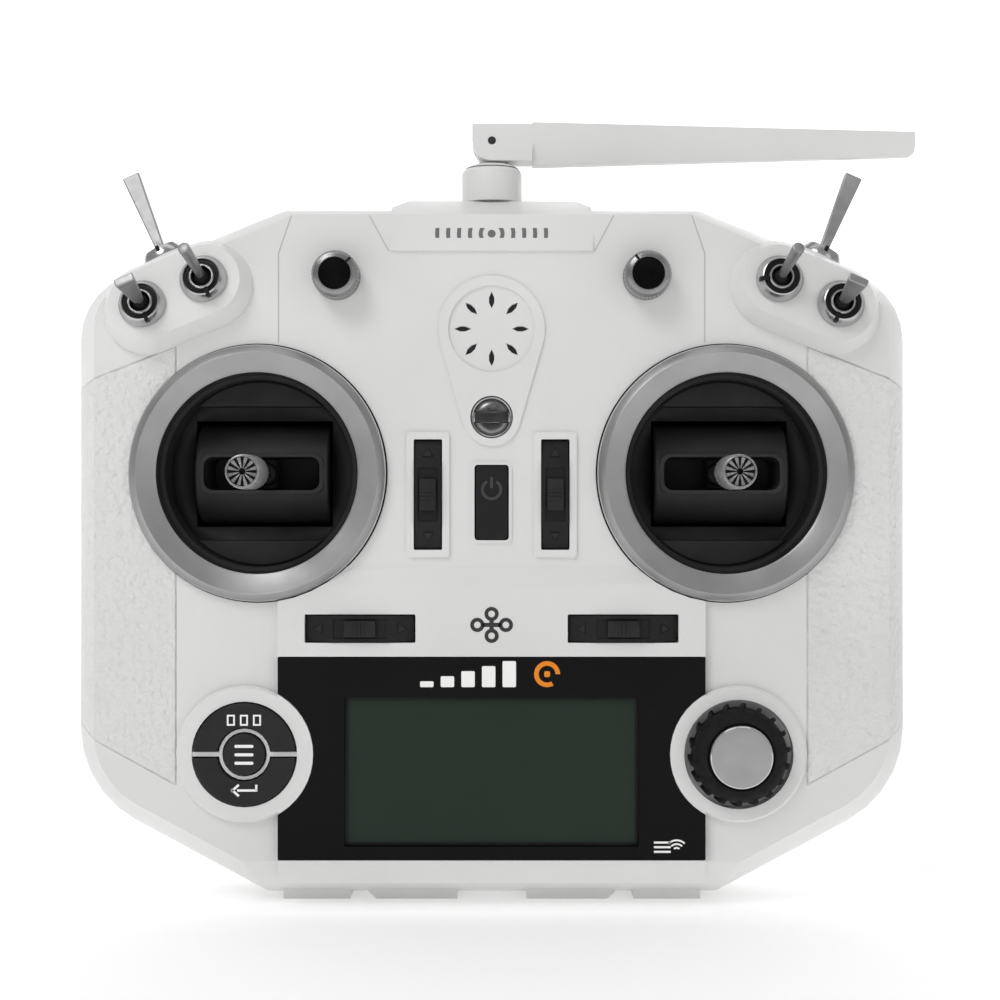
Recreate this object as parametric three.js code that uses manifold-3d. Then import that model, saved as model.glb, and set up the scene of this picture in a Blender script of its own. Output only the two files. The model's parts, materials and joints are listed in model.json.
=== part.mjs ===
// Handheld radio transmitter controller, modelled upright: X to the right, Z up, the face
// towards -Y, standing on its lugs at Z = 0. All sizes are in millimetres.
import * as THREE from 'three';
import { mergeVertices } from 'three/addons/utils/BufferGeometryUtils.js';
import Module from 'manifold-3d';

const wasm = await Module();
wasm.setup();

// ---------------------------------------------------------------- driving dimensions
const SEAT = 0.1;                 // gap left between pieces that are seated on each other
const FIT = 0.3;                  // clearance around a piece that sits in an opening
const EPS = 0.01;                 // how far a cutter runs past the face that it opens
const FINE = 44;                  // sides of the large round shapes
const MEDIUM = 24;
const SMALL = 12;

const CASE_HALF_WIDTH = 101.4;
const CASE_BOTTOM_Z = 1.7;        // underside of the case, above the surface it stands on
const CASE_TOP_Z = 169.3;
const BOTTOM_HALF_WIDTH = 55.3;   // flat underside, before the lower diagonals
const TOP_HALF_WIDTH = 51.3;      // flat top, before the sloping shoulders
const DIAGONAL_RISE = 24.7;       // height gained along a lower diagonal
const SHOULDER_DROP = 20.5;       // height lost along a shoulder
const LOW_CORNER_R = 26;
const HIGH_CORNER_R = 17;
const EDGE_CORNER_R = 4;
const FACE_Y = -20.5;             // main plane of the face
const SPLIT_Y = 2;                // where the front and rear housings meet
const BACK_Y = 26;
const FRONT_ROUND = 14;           // depth over which the front edges round away
const BACK_ROUND = 15;
const WALL = 2.4;

const GIMBAL_X = 55.8;
const GIMBAL_Z = 104.4;
const GIMBAL_DEPTH = 18.5;        // from the face back to the stick's pivot
const RING_OUTER_R = 30.6;
const RING_INNER_R = 24;
const RING_HEIGHT = 3.5;
const BOWL_LIP = 0.9;             // how far the bowl runs out under the ring
const BOWL_WALL = 1.4;
const DRUM_R = 12.2;
const DRUM_HALF_LENGTH = 16.2;
const SLOT_LENGTH = 28;
const SLOT_HEIGHT = 8;
const STICK_R = 1.6;
const STICK_REACH = 45.5;         // from the pivot to the stick's tip
const TIP_R = 4;
const TIP_LENGTH = 17;

const NUT_R = 5.6;
const NUT_BORE_R = 3;
const NUT_HEIGHT = 3;
const POD_R = 8.6;                // top face of a switch pod
const POD_FLARE = 2.2;
const POD_HEIGHT = 4;
const POD_ALONG = 30.6;           // pod centre, measured down the shoulder
const POD_BELOW = 11.3;           // and inwards from the shoulder's edge
const POD_TILT = THREE.MathUtils.degToRad(10);
const TOGGLE_PITCH = 15.6;
const INNER_TOGGLE_LEAN = THREE.MathUtils.degToRad(14);
const OUTER_TOGGLE_LEAN = THREE.MathUtils.degToRad(10);
const SHOULDER_TOGGLE_LEAN = THREE.MathUtils.degToRad(12);
const SHOULDER_TOGGLE_ALONG = 33.7;
const SHOULDER_TOGGLE_Y = 11;
const SHOULDER_BOSS_R = 7.4;
const SHOULDER_BOSS_HEIGHT = 3.4;

const POT_X = 36.9;
const POT_BELOW_TOP = 18;
const POT_R = 5.6;
const POT_HEIGHT = 7.5;
const POT_SHAFT_R = 2.5;

const PANEL_HALF_WIDTH = 50.9;    // raised lower panel
const PANEL_HEIGHT = 2;
const PANEL_TOP_Z = 77.9;
const PANEL_SLOPE = 4.6;
const PANEL_BOTTOM_Z = 11.3;
const BEZEL_HEIGHT = 48.2;
const BEZEL_BOTTOM_Z = 12.4;
const BEZEL_THICKNESS = 1.5;
const SCREEN_WIDTH = 70;
const SCREEN_HEIGHT = 35.5;
const SCREEN_Z = 33.3;
const LCD_MARGIN = 2;
const LCD_THICKNESS = 2.5;

const CLUSTER_X = 58.8;           // key cluster on the left, encoder on the right
const CLUSTER_Z = 37.5;
const COLLAR_WALL = 3.3;          // white ring around the encoder's well
const KEY_R = 12.25;
const MENU_R = 5;
const KEY_WEB = 1.1;              // white web between the keys
const KEY_PROUD = 0.6;
const KEY_THICKNESS = 4.2;
const KNOB_R = 12.1;
const WELL_GAP = 0.9;
const KNOB_HEIGHT = 7.1;
const KNOB_TEETH = 18;
const CAP_R = 7.6;
const ENCODER_SHAFT_R = 3;

const TRIM_WIDTH = 6.2;
const TRIM_LENGTH = 25.8;
const TRIM_CROWN = 1.6;
const TRIM_TAB_WIDTH = 4;
const TRIM_TAB_LENGTH = 7.1;
const TRIM_TRAVEL = 2.5;
const TRIM_FRAME = 2;
const UPRIGHT_TRIM_X = 15.2;
const UPRIGHT_TRIM_Z = 99.3;
const LEVEL_TRIM_X = 31.3;
const LEVEL_TRIM_Z = 67.4;

const POWER_WIDTH = 7.6;
const POWER_HEIGHT = 17.4;
const POWER_Z = 97.4;
const SPEAKER_Z = 138.9;
const SPEAKER_R = 11;
const SPEAKER_RECESS_R = 10.4;     // round recess in the face over the speaker
const SPEAKER_SLOTS = 8;
const SPEAKER_SLOT_ORBIT = 6.9;
const EYELET_Z = 117.8;
const EYELET_R = 5.1;
const EYELET_DEPTH = 5;
const TEAR_TOP_R = 12.7;
const TEAR_LOW_R = 6.9;

const BLOCK_HALF_WIDTH = 24.2;    // antenna block on the top edge
const BLOCK_RISE = 2.6;
const BLOCK_BOTTOM_Z = 157.5;
const BLOCK_BEVEL = 5.5;           // height of the bevel along the block's front
const ANTENNA_Y = 0;
const POST_R = 7.5;
const POST_HEIGHT = 8.6;
const PIN_ABOVE_POST = 6.6;
const PIN_R = 1.1;
const HUB_R = 5;                  // pin centre to the outside of the blade's root block
const TONGUE_THICKNESS = 3;
const BLADE_ROOT_X = 10;
const BLADE_TIP_X = 105.4;
const BLADE_ROOT_HEIGHT = 10.4;
const BLADE_TIP_HEIGHT = 6;
const BLADE_DROP = 1.6;            // how much lower the blade's top edge is at the tip
const BLADE_ROOT_THICKNESS = 9;
const BLADE_TIP_THICKNESS = 5;

const LUG_FRONT_Y = -8;
const LUG_BACK_Y = 22;
const HANDLE_HALF_WIDTH = 40;
const HANDLE_BACK_Y = 47.5;
const HANDLE_Z = 151;
const HANDLE_HEIGHT = 10;
const HANDLE_THICKNESS = 6;
const DOOR_WIDTH = 78;
const DOOR_HEIGHT = 41;
const DOOR_BOTTOM_Z = 17.3;
const DOOR_THICKNESS = 1.8;
const PACK_MARGIN = 2;            // between the battery pack and the door's edges
const PACK_DEPTH = 18.6;
const COVER_WIDTH = 48;
const COVER_HEIGHT = 62;
const COVER_Z = 103;
const COVER_THICKNESS = 3;
const BOARD_HALF_WIDTH = 74;
const BOARD_BOTTOM_Z = 64;
const BOARD_TOP_Z = 146;
const BOARD_Y = 12.5;
const BOARD_THICKNESS = 1.6;
const SCREW_X = 84;
const LOW_SCREW_Z = 44;
const HIGH_SCREW_Z = 132;
const SCREW_HEAD_R = 2.8;
const SCREW_SHANK_R = 1.4;
const SCREW_LENGTH = 30;
const BOSS_R = 4;

const BOWL_R = RING_INNER_R + BOWL_LIP;
const WELL_R = KNOB_R + WELL_GAP;
const COLLAR_R = WELL_R + COLLAR_WALL;

// ---------------------------------------------------------------- materials
function plain(color, roughness, metalness = 0) {
  return new THREE.MeshStandardMaterial({ color, roughness, metalness });
}
const MATERIALS = {
  whiteShell: plain('#dcdcda', 0.5),
  blackPlastic: plain('#1c1c1c', 0.45),
  glossBlack: plain('#141414', 0.12),
  satinAluminium: plain('#b2b4b6', 0.38, 1),
  chrome: plain('#c9cacc', 0.15, 1),
  rubber: plain('#161616', 0.8),
  screen: plain('#2e3830', 0.3),
  board: plain('#1d5a34', 0.5),
  battery: plain('#3a5f96', 0.4),
  steel: plain('#8d9094', 0.35, 1),
};

// ---------------------------------------------------------------- geometry helpers
function solid(geometry) {
  geometry.deleteAttribute('normal');
  geometry.deleteAttribute('uv');
  const merged = mergeVertices(geometry, 1e-4);
  const corners = merged.index.array;
  const kept = [];
  for (let i = 0; i < corners.length; i += 3) {
    const [a, b, c] = [corners[i], corners[i + 1], corners[i + 2]];
    if (a !== b && b !== c && c !== a) kept.push(a, b, c);
  }
  const vertProperties = new Float32Array(merged.attributes.position.array);
  const mesh = new wasm.Mesh({ numProp: 3, vertProperties, triVerts: new Uint32Array(kept) });
  mesh.merge();
  return new wasm.Manifold(mesh);
}

function joined(solids) {
  return solids.reduce((whole, piece) => whole.add(piece));
}

// Extrudes a shape drawn in X-Z between two Y planes; front is the smaller Y.
function plateGeometry(shape, front, back, curveSegments = 8) {
  const depth = back - front;
  const geometry = new THREE.ExtrudeGeometry(shape, { depth, bevelEnabled: false, curveSegments });
  geometry.rotateX(Math.PI / 2);
  geometry.translate(0, back, 0);
  return geometry;
}
function plate(shape, front, back, curveSegments) {
  return solid(plateGeometry(shape, front, back, curveSegments));
}

// Extrudes a shape drawn in Y-Z between two X planes.
function sideProfile(shape, left, right) {
  const depth = right - left;
  const geometry = new THREE.ExtrudeGeometry(shape, { depth, bevelEnabled: false });
  geometry.rotateX(Math.PI / 2);
  geometry.rotateZ(Math.PI / 2);
  geometry.translate(left, 0, 0);
  return solid(geometry);
}

// Extrudes a shape drawn in X-Y between two Z planes.
function planProfile(shape, bottom, top, curveSegments = 6) {
  const depth = top - bottom;
  const geometry = new THREE.ExtrudeGeometry(shape, { depth, bevelEnabled: false, curveSegments });
  geometry.translate(0, 0, bottom);
  return solid(geometry);
}

const TURNS = {
  front: (geometry) => geometry.rotateX(Math.PI),
  up: (geometry) => geometry.rotateX(Math.PI / 2),
  right: (geometry) => geometry.rotateZ(-Math.PI / 2),
};

// Turns a profile of [radius, height] pairs, listed from the bottom up, about an axis that
// points to the front (-Y), up (+Z) or right (+X).
function turnedGeometry(profile, towards, segments = MEDIUM) {
  const points = profile.map(([radius, height]) => new THREE.Vector2(radius, height));
  const geometry = new THREE.LatheGeometry(points, segments);
  return TURNS[towards](geometry);
}
function turned(profile, towards, segments, [x, y, z] = [0, 0, 0]) {
  return solid(turnedGeometry(profile, towards, segments).translate(x, y, z));
}

function rodProfile(radius, bottom, top) {
  return [[0, bottom], [radius, bottom], [radius, top], [0, top]];
}
function rod(radius, bottom, top, towards, segments, place) {
  return turned(rodProfile(radius, bottom, top), towards, segments, place);
}

function box([x0, x1], [y0, y1], [z0, z1]) {
  const geometry = new THREE.BoxGeometry(x1 - x0, y1 - y0, z1 - z0);
  geometry.translate((x0 + x1) / 2, (y0 + y1) / 2, (z0 + z1) / 2);
  return solid(geometry);
}

function polygon(points) {
  return new THREE.Shape(points.map(([x, y]) => new THREE.Vector2(x, y)));
}

function roundedRectangle(width, height, radius, x = 0, y = 0) {
  const shape = new THREE.Shape();
  const [halfWidth, halfHeight] = [width / 2, height / 2];
  const corners = [[1, -1, -90], [1, 1, 0], [-1, 1, 90], [-1, -1, 180]];
  corners.forEach(([sx, sy, start]) => {
    const from = THREE.MathUtils.degToRad(start);
    const centreX = x + sx * (halfWidth - radius);
    const centreY = y + sy * (halfHeight - radius);
    shape.absarc(centreX, centreY, radius, from, from + Math.PI / 2, false);
  });
  shape.closePath();
  return shape;
}

function disc(radius, x = 0, y = 0) {
  return new THREE.Shape().absarc(x, y, radius, 0, 2 * Math.PI, false);
}

// Outline around two circles on one vertical line, the upper one larger.
function teardrop(topRadius, topZ, lowRadius, lowZ) {
  const lean = Math.asin((topRadius - lowRadius) / (topZ - lowZ));
  const shape = new THREE.Shape();
  shape.absarc(0, topZ, topRadius, -lean, Math.PI + lean, false);
  shape.absarc(0, lowZ, lowRadius, Math.PI + lean, 2 * Math.PI - lean, false);
  shape.closePath();
  return shape;
}

// Capsule lying along X.
function capsule(halfLength, radius) {
  const shape = new THREE.Shape();
  shape.absarc(halfLength, 0, radius, -Math.PI / 2, Math.PI / 2, false);
  shape.absarc(-halfLength, 0, radius, Math.PI / 2, 1.5 * Math.PI, false);
  shape.closePath();
  return shape;
}

// ---------------------------------------------------------------- scene graph helpers
const radio = new THREE.Group();

function frameAt(parent, [x, y, z], [turnX, turnY, turnZ] = [0, 0, 0]) {
  const frame = new THREE.Group();
  frame.position.set(x, y, z);
  frame.rotation.set(turnX, turnY, turnZ);
  parent.add(frame);
  return frame;
}

// Carries a geometry from a frame's own axes to the radio's.
function inRadio(frame, geometry) {
  frame.updateWorldMatrix(true, false);
  return solid(geometry.applyMatrix4(frame.matrixWorld));
}

function addPiece(name, piece, material, parent = radio) {
  const { vertProperties, triVerts } = piece.getMesh();
  const geometry = new THREE.BufferGeometry();
  geometry.setAttribute('position', new THREE.BufferAttribute(vertProperties, 3));
  geometry.setIndex(new THREE.BufferAttribute(triVerts, 1));
  geometry.computeVertexNormals();
  const mesh = new THREE.Mesh(geometry, material.clone());
  mesh.name = name;
  parent.add(mesh);
}

const SIDES = [{ name: 'left', sign: -1 }, { name: 'right', sign: 1 }];

// ---------------------------------------------------------------- case outline and loft
const LOW_CORNER_Z = CASE_BOTTOM_Z + DIAGONAL_RISE;
const HIGH_CORNER_Z = CASE_TOP_Z - SHOULDER_DROP;
const CASE_CORNERS = [            // x, z, radius, name of the edge that starts here
  [-BOTTOM_HALF_WIDTH, CASE_BOTTOM_Z, EDGE_CORNER_R, 'bottom'],
  [BOTTOM_HALF_WIDTH, CASE_BOTTOM_Z, EDGE_CORNER_R, 'diagonal'],
  [CASE_HALF_WIDTH, LOW_CORNER_Z, LOW_CORNER_R, 'side'],
  [CASE_HALF_WIDTH, HIGH_CORNER_Z, HIGH_CORNER_R, 'shoulder'],
  [TOP_HALF_WIDTH, CASE_TOP_Z, EDGE_CORNER_R, 'top'],
  [-TOP_HALF_WIDTH, CASE_TOP_Z, EDGE_CORNER_R, 'shoulder'],
  [-CASE_HALF_WIDTH, HIGH_CORNER_Z, HIGH_CORNER_R, 'side'],
  [-CASE_HALF_WIDTH, LOW_CORNER_Z, LOW_CORNER_R, 'diagonal'],
];
const FRONT_INSET = { bottom: 10, diagonal: 6.8, side: 6.4, shoulder: 4.5, top: 3 };
const BACK_INSET = { bottom: 8, diagonal: 9, side: 9, shoulder: 8, top: 7 };
const ARC_STEPS = 5;

// The case outline with each edge stepped inwards, as points going round counter-clockwise.
function caseRing(insetOf) {
  const count = CASE_CORNERS.length;
  const edges = CASE_CORNERS.map(([x, z, , edge], i) => {
    const [nextX, nextZ] = CASE_CORNERS[(i + 1) % count];
    const along = new THREE.Vector2(nextX - x, nextZ - z).normalize();
    const inwards = new THREE.Vector2(-along.y, along.x);
    const start = new THREE.Vector2(x, z).addScaledVector(inwards, insetOf(edge));
    return { start, along, inwards };
  });
  return CASE_CORNERS.flatMap(([, , radius, edge], i) => {
    const before = edges[(i + count - 1) % count];
    const after = edges[i];
    const turn = Math.atan2(before.along.cross(after.along), before.along.dot(after.along));
    const gap = after.start.clone().sub(before.start);
    const corner = before.start.clone()
      .addScaledVector(before.along, gap.cross(after.along) / before.along.cross(after.along));
    const r = Math.max(radius - insetOf(edge), 1);
    const centre = corner.clone()
      .addScaledVector(before.along, -r * Math.tan(turn / 2))
      .addScaledVector(before.inwards, r);
    const first = Math.atan2(-before.inwards.y, -before.inwards.x);
    return Array.from({ length: ARC_STEPS + 1 }, (_, k) => {
      const angle = first + turn * k / ARC_STEPS;
      return new THREE.Vector2(centre.x + r * Math.cos(angle), centre.y + r * Math.sin(angle));
    });
  });
}

// Skins a row of outlines, each at its own Y, and closes both ends.
function loft(sections) {
  const size = sections[0].ring.length;
  const positions = sections.flatMap(({ y, ring }) => ring.flatMap((p) => [p.x, y, p.y]));
  const last = (sections.length - 1) * size;
  const cap = THREE.ShapeUtils.triangulateShape(sections[0].ring, []);
  const indices = cap.flatMap(([a, b, c]) => [a, b, c, last + a, last + c, last + b]);
  for (let s = 0; s < sections.length - 1; s += 1) {
    for (let i = 0; i < size; i += 1) {
      const [a, b] = [s * size + i, s * size + (i + 1) % size];
      indices.push(b, a, a + size, b, a + size, b + size);
    }
  }
  const geometry = new THREE.BufferGeometry();
  geometry.setAttribute('position', new THREE.Float32BufferAttribute(positions, 3));
  geometry.setIndex(indices);
  return solid(geometry);
}

// The whole case from face to back, with everything drawn in by one wall for its cavity.
function caseLoft(wall) {
  const frontSteps = [0, 0.3, 0.62, 1];
  const backSteps = [1, 0.55, 0.2, 0];
  const front = frontSteps.map((t) => ({
    y: t === 0 ? FACE_Y + wall : FACE_Y + FRONT_ROUND * t,
    ring: caseRing((edge) => wall + FRONT_INSET[edge] * (1 - t) ** 1.4),
  }));
  const back = backSteps.map((t) => ({
    y: t === 0 ? BACK_Y - wall : BACK_Y - BACK_ROUND * t,
    ring: caseRing((edge) => wall + BACK_INSET[edge] * (1 - t) ** 2),
  }));
  return loft([...front, ...back]);
}

// ---------------------------------------------------------------- frames of the groups
const gimbalFrames = {};
const shoulderFrames = {};
const podFrames = {};
const shoulderToggleFrames = {};
const SHOULDER_ANGLE = Math.atan2(SHOULDER_DROP, CASE_HALF_WIDTH - TOP_HALF_WIDTH);
const SHOULDER_TOGGLE_TILT = THREE.MathUtils.degToRad(5);
const SHOULDER_LEVER_TILT = THREE.MathUtils.degToRad(-3.5);

SIDES.forEach(({ name, sign }) => {
  gimbalFrames[name] = frameAt(radio, [sign * GIMBAL_X, FACE_Y + GIMBAL_DEPTH, GIMBAL_Z]);
  shoulderFrames[name] = frameAt(
    radio, [sign * TOP_HALF_WIDTH, 0, CASE_TOP_Z], [0, sign * SHOULDER_ANGLE, 0]);
  podFrames[name] = frameAt(
    shoulderFrames[name], [sign * POD_ALONG, FACE_Y - POD_HEIGHT, -POD_BELOW], [-POD_TILT, 0, 0]);
  shoulderToggleFrames[name] = frameAt(shoulderFrames[name],
    [sign * SHOULDER_TOGGLE_ALONG, SHOULDER_TOGGLE_Y, SHOULDER_BOSS_HEIGHT]);
  const upwards = -Math.PI / 2;
  shoulderToggleFrames[name].rotation.set(upwards, sign * SHOULDER_TOGGLE_TILT, 0, 'YXZ');
});

// ---------------------------------------------------------------- front and rear housings
const INNER_FACE_Y = FACE_Y + WALL;
const INNER_BACK_Y = BACK_Y - WALL;
const PANEL_Y = FACE_Y - PANEL_HEIGHT;
const POT_Z = CASE_TOP_Z - POT_BELOW_TOP;
const BLOCK_TOP_Z = CASE_TOP_Z + BLOCK_RISE;
const FAR = 300;

// A switch pod: a capsule whose sides flare out from its top face down to the case.
function pod(frame) {
  const depth = 9;
  const geometry = new THREE.ExtrudeGeometry(capsule(TOGGLE_PITCH / 2, POD_R), {
    depth, bevelThickness: POD_HEIGHT, bevelSize: POD_FLARE, bevelOffset: 0,
    bevelSegments: 1, curveSegments: 8,
  });
  geometry.rotateX(Math.PI / 2);
  geometry.translate(0, depth + POD_HEIGHT, 0);
  return inRadio(frame, geometry);
}

function lowerPanel() {
  const profile = polygon([
    [INNER_FACE_Y - 0.6, PANEL_BOTTOM_Z - 5.2], [PANEL_Y, PANEL_BOTTOM_Z], [PANEL_Y, PANEL_TOP_Z],
    [FACE_Y, PANEL_TOP_Z + PANEL_SLOPE], [INNER_FACE_Y - 0.6, PANEL_TOP_Z + PANEL_SLOPE],
  ]);
  const panel = sideProfile(profile, -PANEL_HALF_WIDTH, PANEL_HALF_WIDTH);
  const collars = SIDES.map(({ sign }) => turned(
    [[0, -1], [COLLAR_R, -1], [COLLAR_R, PANEL_HEIGHT - 0.6], [COLLAR_R - 0.6, PANEL_HEIGHT],
      [0, PANEL_HEIGHT]], 'front', FINE, [sign * CLUSTER_X, FACE_Y, CLUSTER_Z]));
  return joined([panel, ...collars]);
}

function antennaBlock() {
  const shape = polygon([
    [-BLOCK_HALF_WIDTH, BLOCK_BOTTOM_Z], [BLOCK_HALF_WIDTH, BLOCK_BOTTOM_Z],
    [BLOCK_HALF_WIDTH, CASE_TOP_Z], [BLOCK_HALF_WIDTH - 3.6, BLOCK_TOP_Z],
    [3.6 - BLOCK_HALF_WIDTH, BLOCK_TOP_Z], [-BLOCK_HALF_WIDTH, CASE_TOP_Z],
  ]);
  const block = plate(shape, FACE_Y - 0.8, BACK_Y - 8);
  const slope = polygon([
    [FACE_Y - 2, BLOCK_BOTTOM_Z - 1], [FACE_Y - 0.8, BLOCK_BOTTOM_Z - 1],
    [FACE_Y + 0.6, BLOCK_TOP_Z - BLOCK_BEVEL], [FACE_Y + 15, BLOCK_TOP_Z],
    [FACE_Y + 15, BLOCK_TOP_Z + 1], [FACE_Y - 2, BLOCK_TOP_Z + 1],
  ]);
  return block.subtract(sideProfile(slope, -FAR, FAR));
}

// Lugs under the case: inner and outer end of each, measured from the middle.
const LUGS = [[8.5, 30.8, 1.5], [34.8, 51.2, 0]];
function lugs() {
  const cutTop = CASE_BOTTOM_Z + 4;
  const pieces = LUGS.flatMap(([inner, outer, corner]) => SIDES.map(({ sign }) => plate(polygon([
    [sign * inner, 0], [sign * (outer - 1 - corner), 0], [sign * (outer - corner / 2), corner],
    [sign * outer, CASE_BOTTOM_Z + 1], [sign * outer, cutTop], [sign * inner, cutTop],
  ]), LUG_FRONT_Y, LUG_BACK_Y)));
  return joined(pieces);
}

function teardropPlateau() {
  const raised = plate(teardrop(TEAR_TOP_R, SPEAKER_Z, TEAR_LOW_R, EYELET_Z), FACE_Y - 0.6, FACE_Y + 1, 12);
  const recess = plate(disc(SPEAKER_RECESS_R, 0, SPEAKER_Z), FACE_Y - 2, FACE_Y, 14);
  return raised.subtract(recess);
}

function uprightTrimFrames() {
  const width = TRIM_WIDTH + 2 * TRIM_FRAME;
  const length = TRIM_LENGTH + 2 * TRIM_FRAME;
  return joined(SIDES.map(({ sign }) => plate(
    roundedRectangle(width, length, 0.8, sign * UPRIGHT_TRIM_X, UPRIGHT_TRIM_Z),
    FACE_Y - 0.8, FACE_Y + 1, 2)));
}

function powerLip() {
  return plate(roundedRectangle(POWER_WIDTH + 2, POWER_HEIGHT + 2, 1.2, 0, POWER_Z),
    FACE_Y - 0.5, FACE_Y + 1, 2);
}

function shoulderBoss(frame) {
  const profile = [[0, -6], [SHOULDER_BOSS_R + 1.4, -6], [SHOULDER_BOSS_R + 1.4, -3],
    [SHOULDER_BOSS_R, 0], [0, 0]];
  return inRadio(frame, turnedGeometry(profile, 'front', MEDIUM));
}

function rearGrips() {
  return joined(SIDES.map(({ sign }) => {
    const geometry = new THREE.SphereGeometry(1, 18, 10);
    geometry.scale(15, 8.5, 44);
    geometry.translate(sign * (CASE_HALF_WIDTH - 27), BACK_Y - 3.5, 84);
    return solid(geometry);
  }));
}

function keyHoles() {
  const web = joined([
    turned([[MENU_R + FIT, -4], [MENU_R + FIT + KEY_WEB - 0.3, -4],
      [MENU_R + FIT + KEY_WEB - 0.3, 4], [MENU_R + FIT, 4], [MENU_R + FIT, -4]],
    'front', MEDIUM, [-CLUSTER_X, FACE_Y, CLUSTER_Z]),
    ...SIDES.map(({ sign }) => {
      const near = MENU_R + FIT + 0.4;
      const far = KEY_R + 1;
      const ends = [-CLUSTER_X + sign * near, -CLUSTER_X + sign * far].sort((a, b) => a - b);
      return box(ends, [FACE_Y - 4, FACE_Y + 4],
        [CLUSTER_Z - KEY_WEB / 2, CLUSTER_Z + KEY_WEB / 2]);
    }),
  ]);
  const hole = rod(KEY_R + FIT, -WALL - EPS, PANEL_HEIGHT + EPS, 'front', FINE,
    [-CLUSTER_X, FACE_Y, CLUSTER_Z]);
  const slice = box([-CLUSTER_X - KEY_R - 1, -CLUSTER_X + KEY_R + 1],
    [PANEL_Y + 0.4, INNER_FACE_Y + 1], [CLUSTER_Z - KEY_R - 1, CLUSTER_Z + KEY_R + 1]);
  return hole.subtract(web.intersect(slice));
}

function bezelOutline(clearance) {
  const halfWidth = PANEL_HALF_WIDTH + clearance;
  const plateBody = box([-halfWidth, halfWidth], [-1, 1],
    [BEZEL_BOTTOM_Z - clearance, BEZEL_BOTTOM_Z + BEZEL_HEIGHT + clearance]);
  const collars = SIDES.map(({ sign }) => rod(COLLAR_R + 0.2 - clearance, -2, 2, 'front', FINE,
    [sign * CLUSTER_X, 0, CLUSTER_Z]));
  return plateBody.subtract(joined(collars));
}

function speakerSlots() {
  const slots = Array.from({ length: SPEAKER_SLOTS }, (_, i) => {
    const lens = new THREE.Shape();
    lens.moveTo(0, SPEAKER_SLOT_ORBIT - 2);
    lens.quadraticCurveTo(1.4, SPEAKER_SLOT_ORBIT, 0, SPEAKER_SLOT_ORBIT + 2);
    lens.quadraticCurveTo(-1.4, SPEAKER_SLOT_ORBIT, 0, SPEAKER_SLOT_ORBIT - 2);
    const geometry = plateGeometry(lens, FACE_Y - 1, INNER_FACE_Y + EPS, 3);
    geometry.rotateY(i * 2 * Math.PI / SPEAKER_SLOTS);
    geometry.translate(0, 0, SPEAKER_Z);
    return solid(geometry);
  });
  return joined(slots);
}

// A cylinder at each of the four case screws.
function atScrews(radius, front, back) {
  const heights = [LOW_SCREW_Z, HIGH_SCREW_Z];
  return joined(SIDES.flatMap(({ sign }) => heights.map((z) => rod(
    radius, -back, -front, 'front', SMALL, [sign * SCREW_X, 0, z]))));
}

function frontHalf(whole) {
  return whole.intersect(box([-FAR, FAR], [-FAR, SPLIT_Y - FIT / 2], [-FAR, FAR]));
}
function rearHalf(whole) {
  return whole.intersect(box([-FAR, FAR], [SPLIT_Y + FIT / 2, FAR], [-FAR, FAR]));
}

const skin = caseLoft(0);
const cavity = caseLoft(WALL);
const outside = joined([skin, lugs(), antennaBlock()]);

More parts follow.
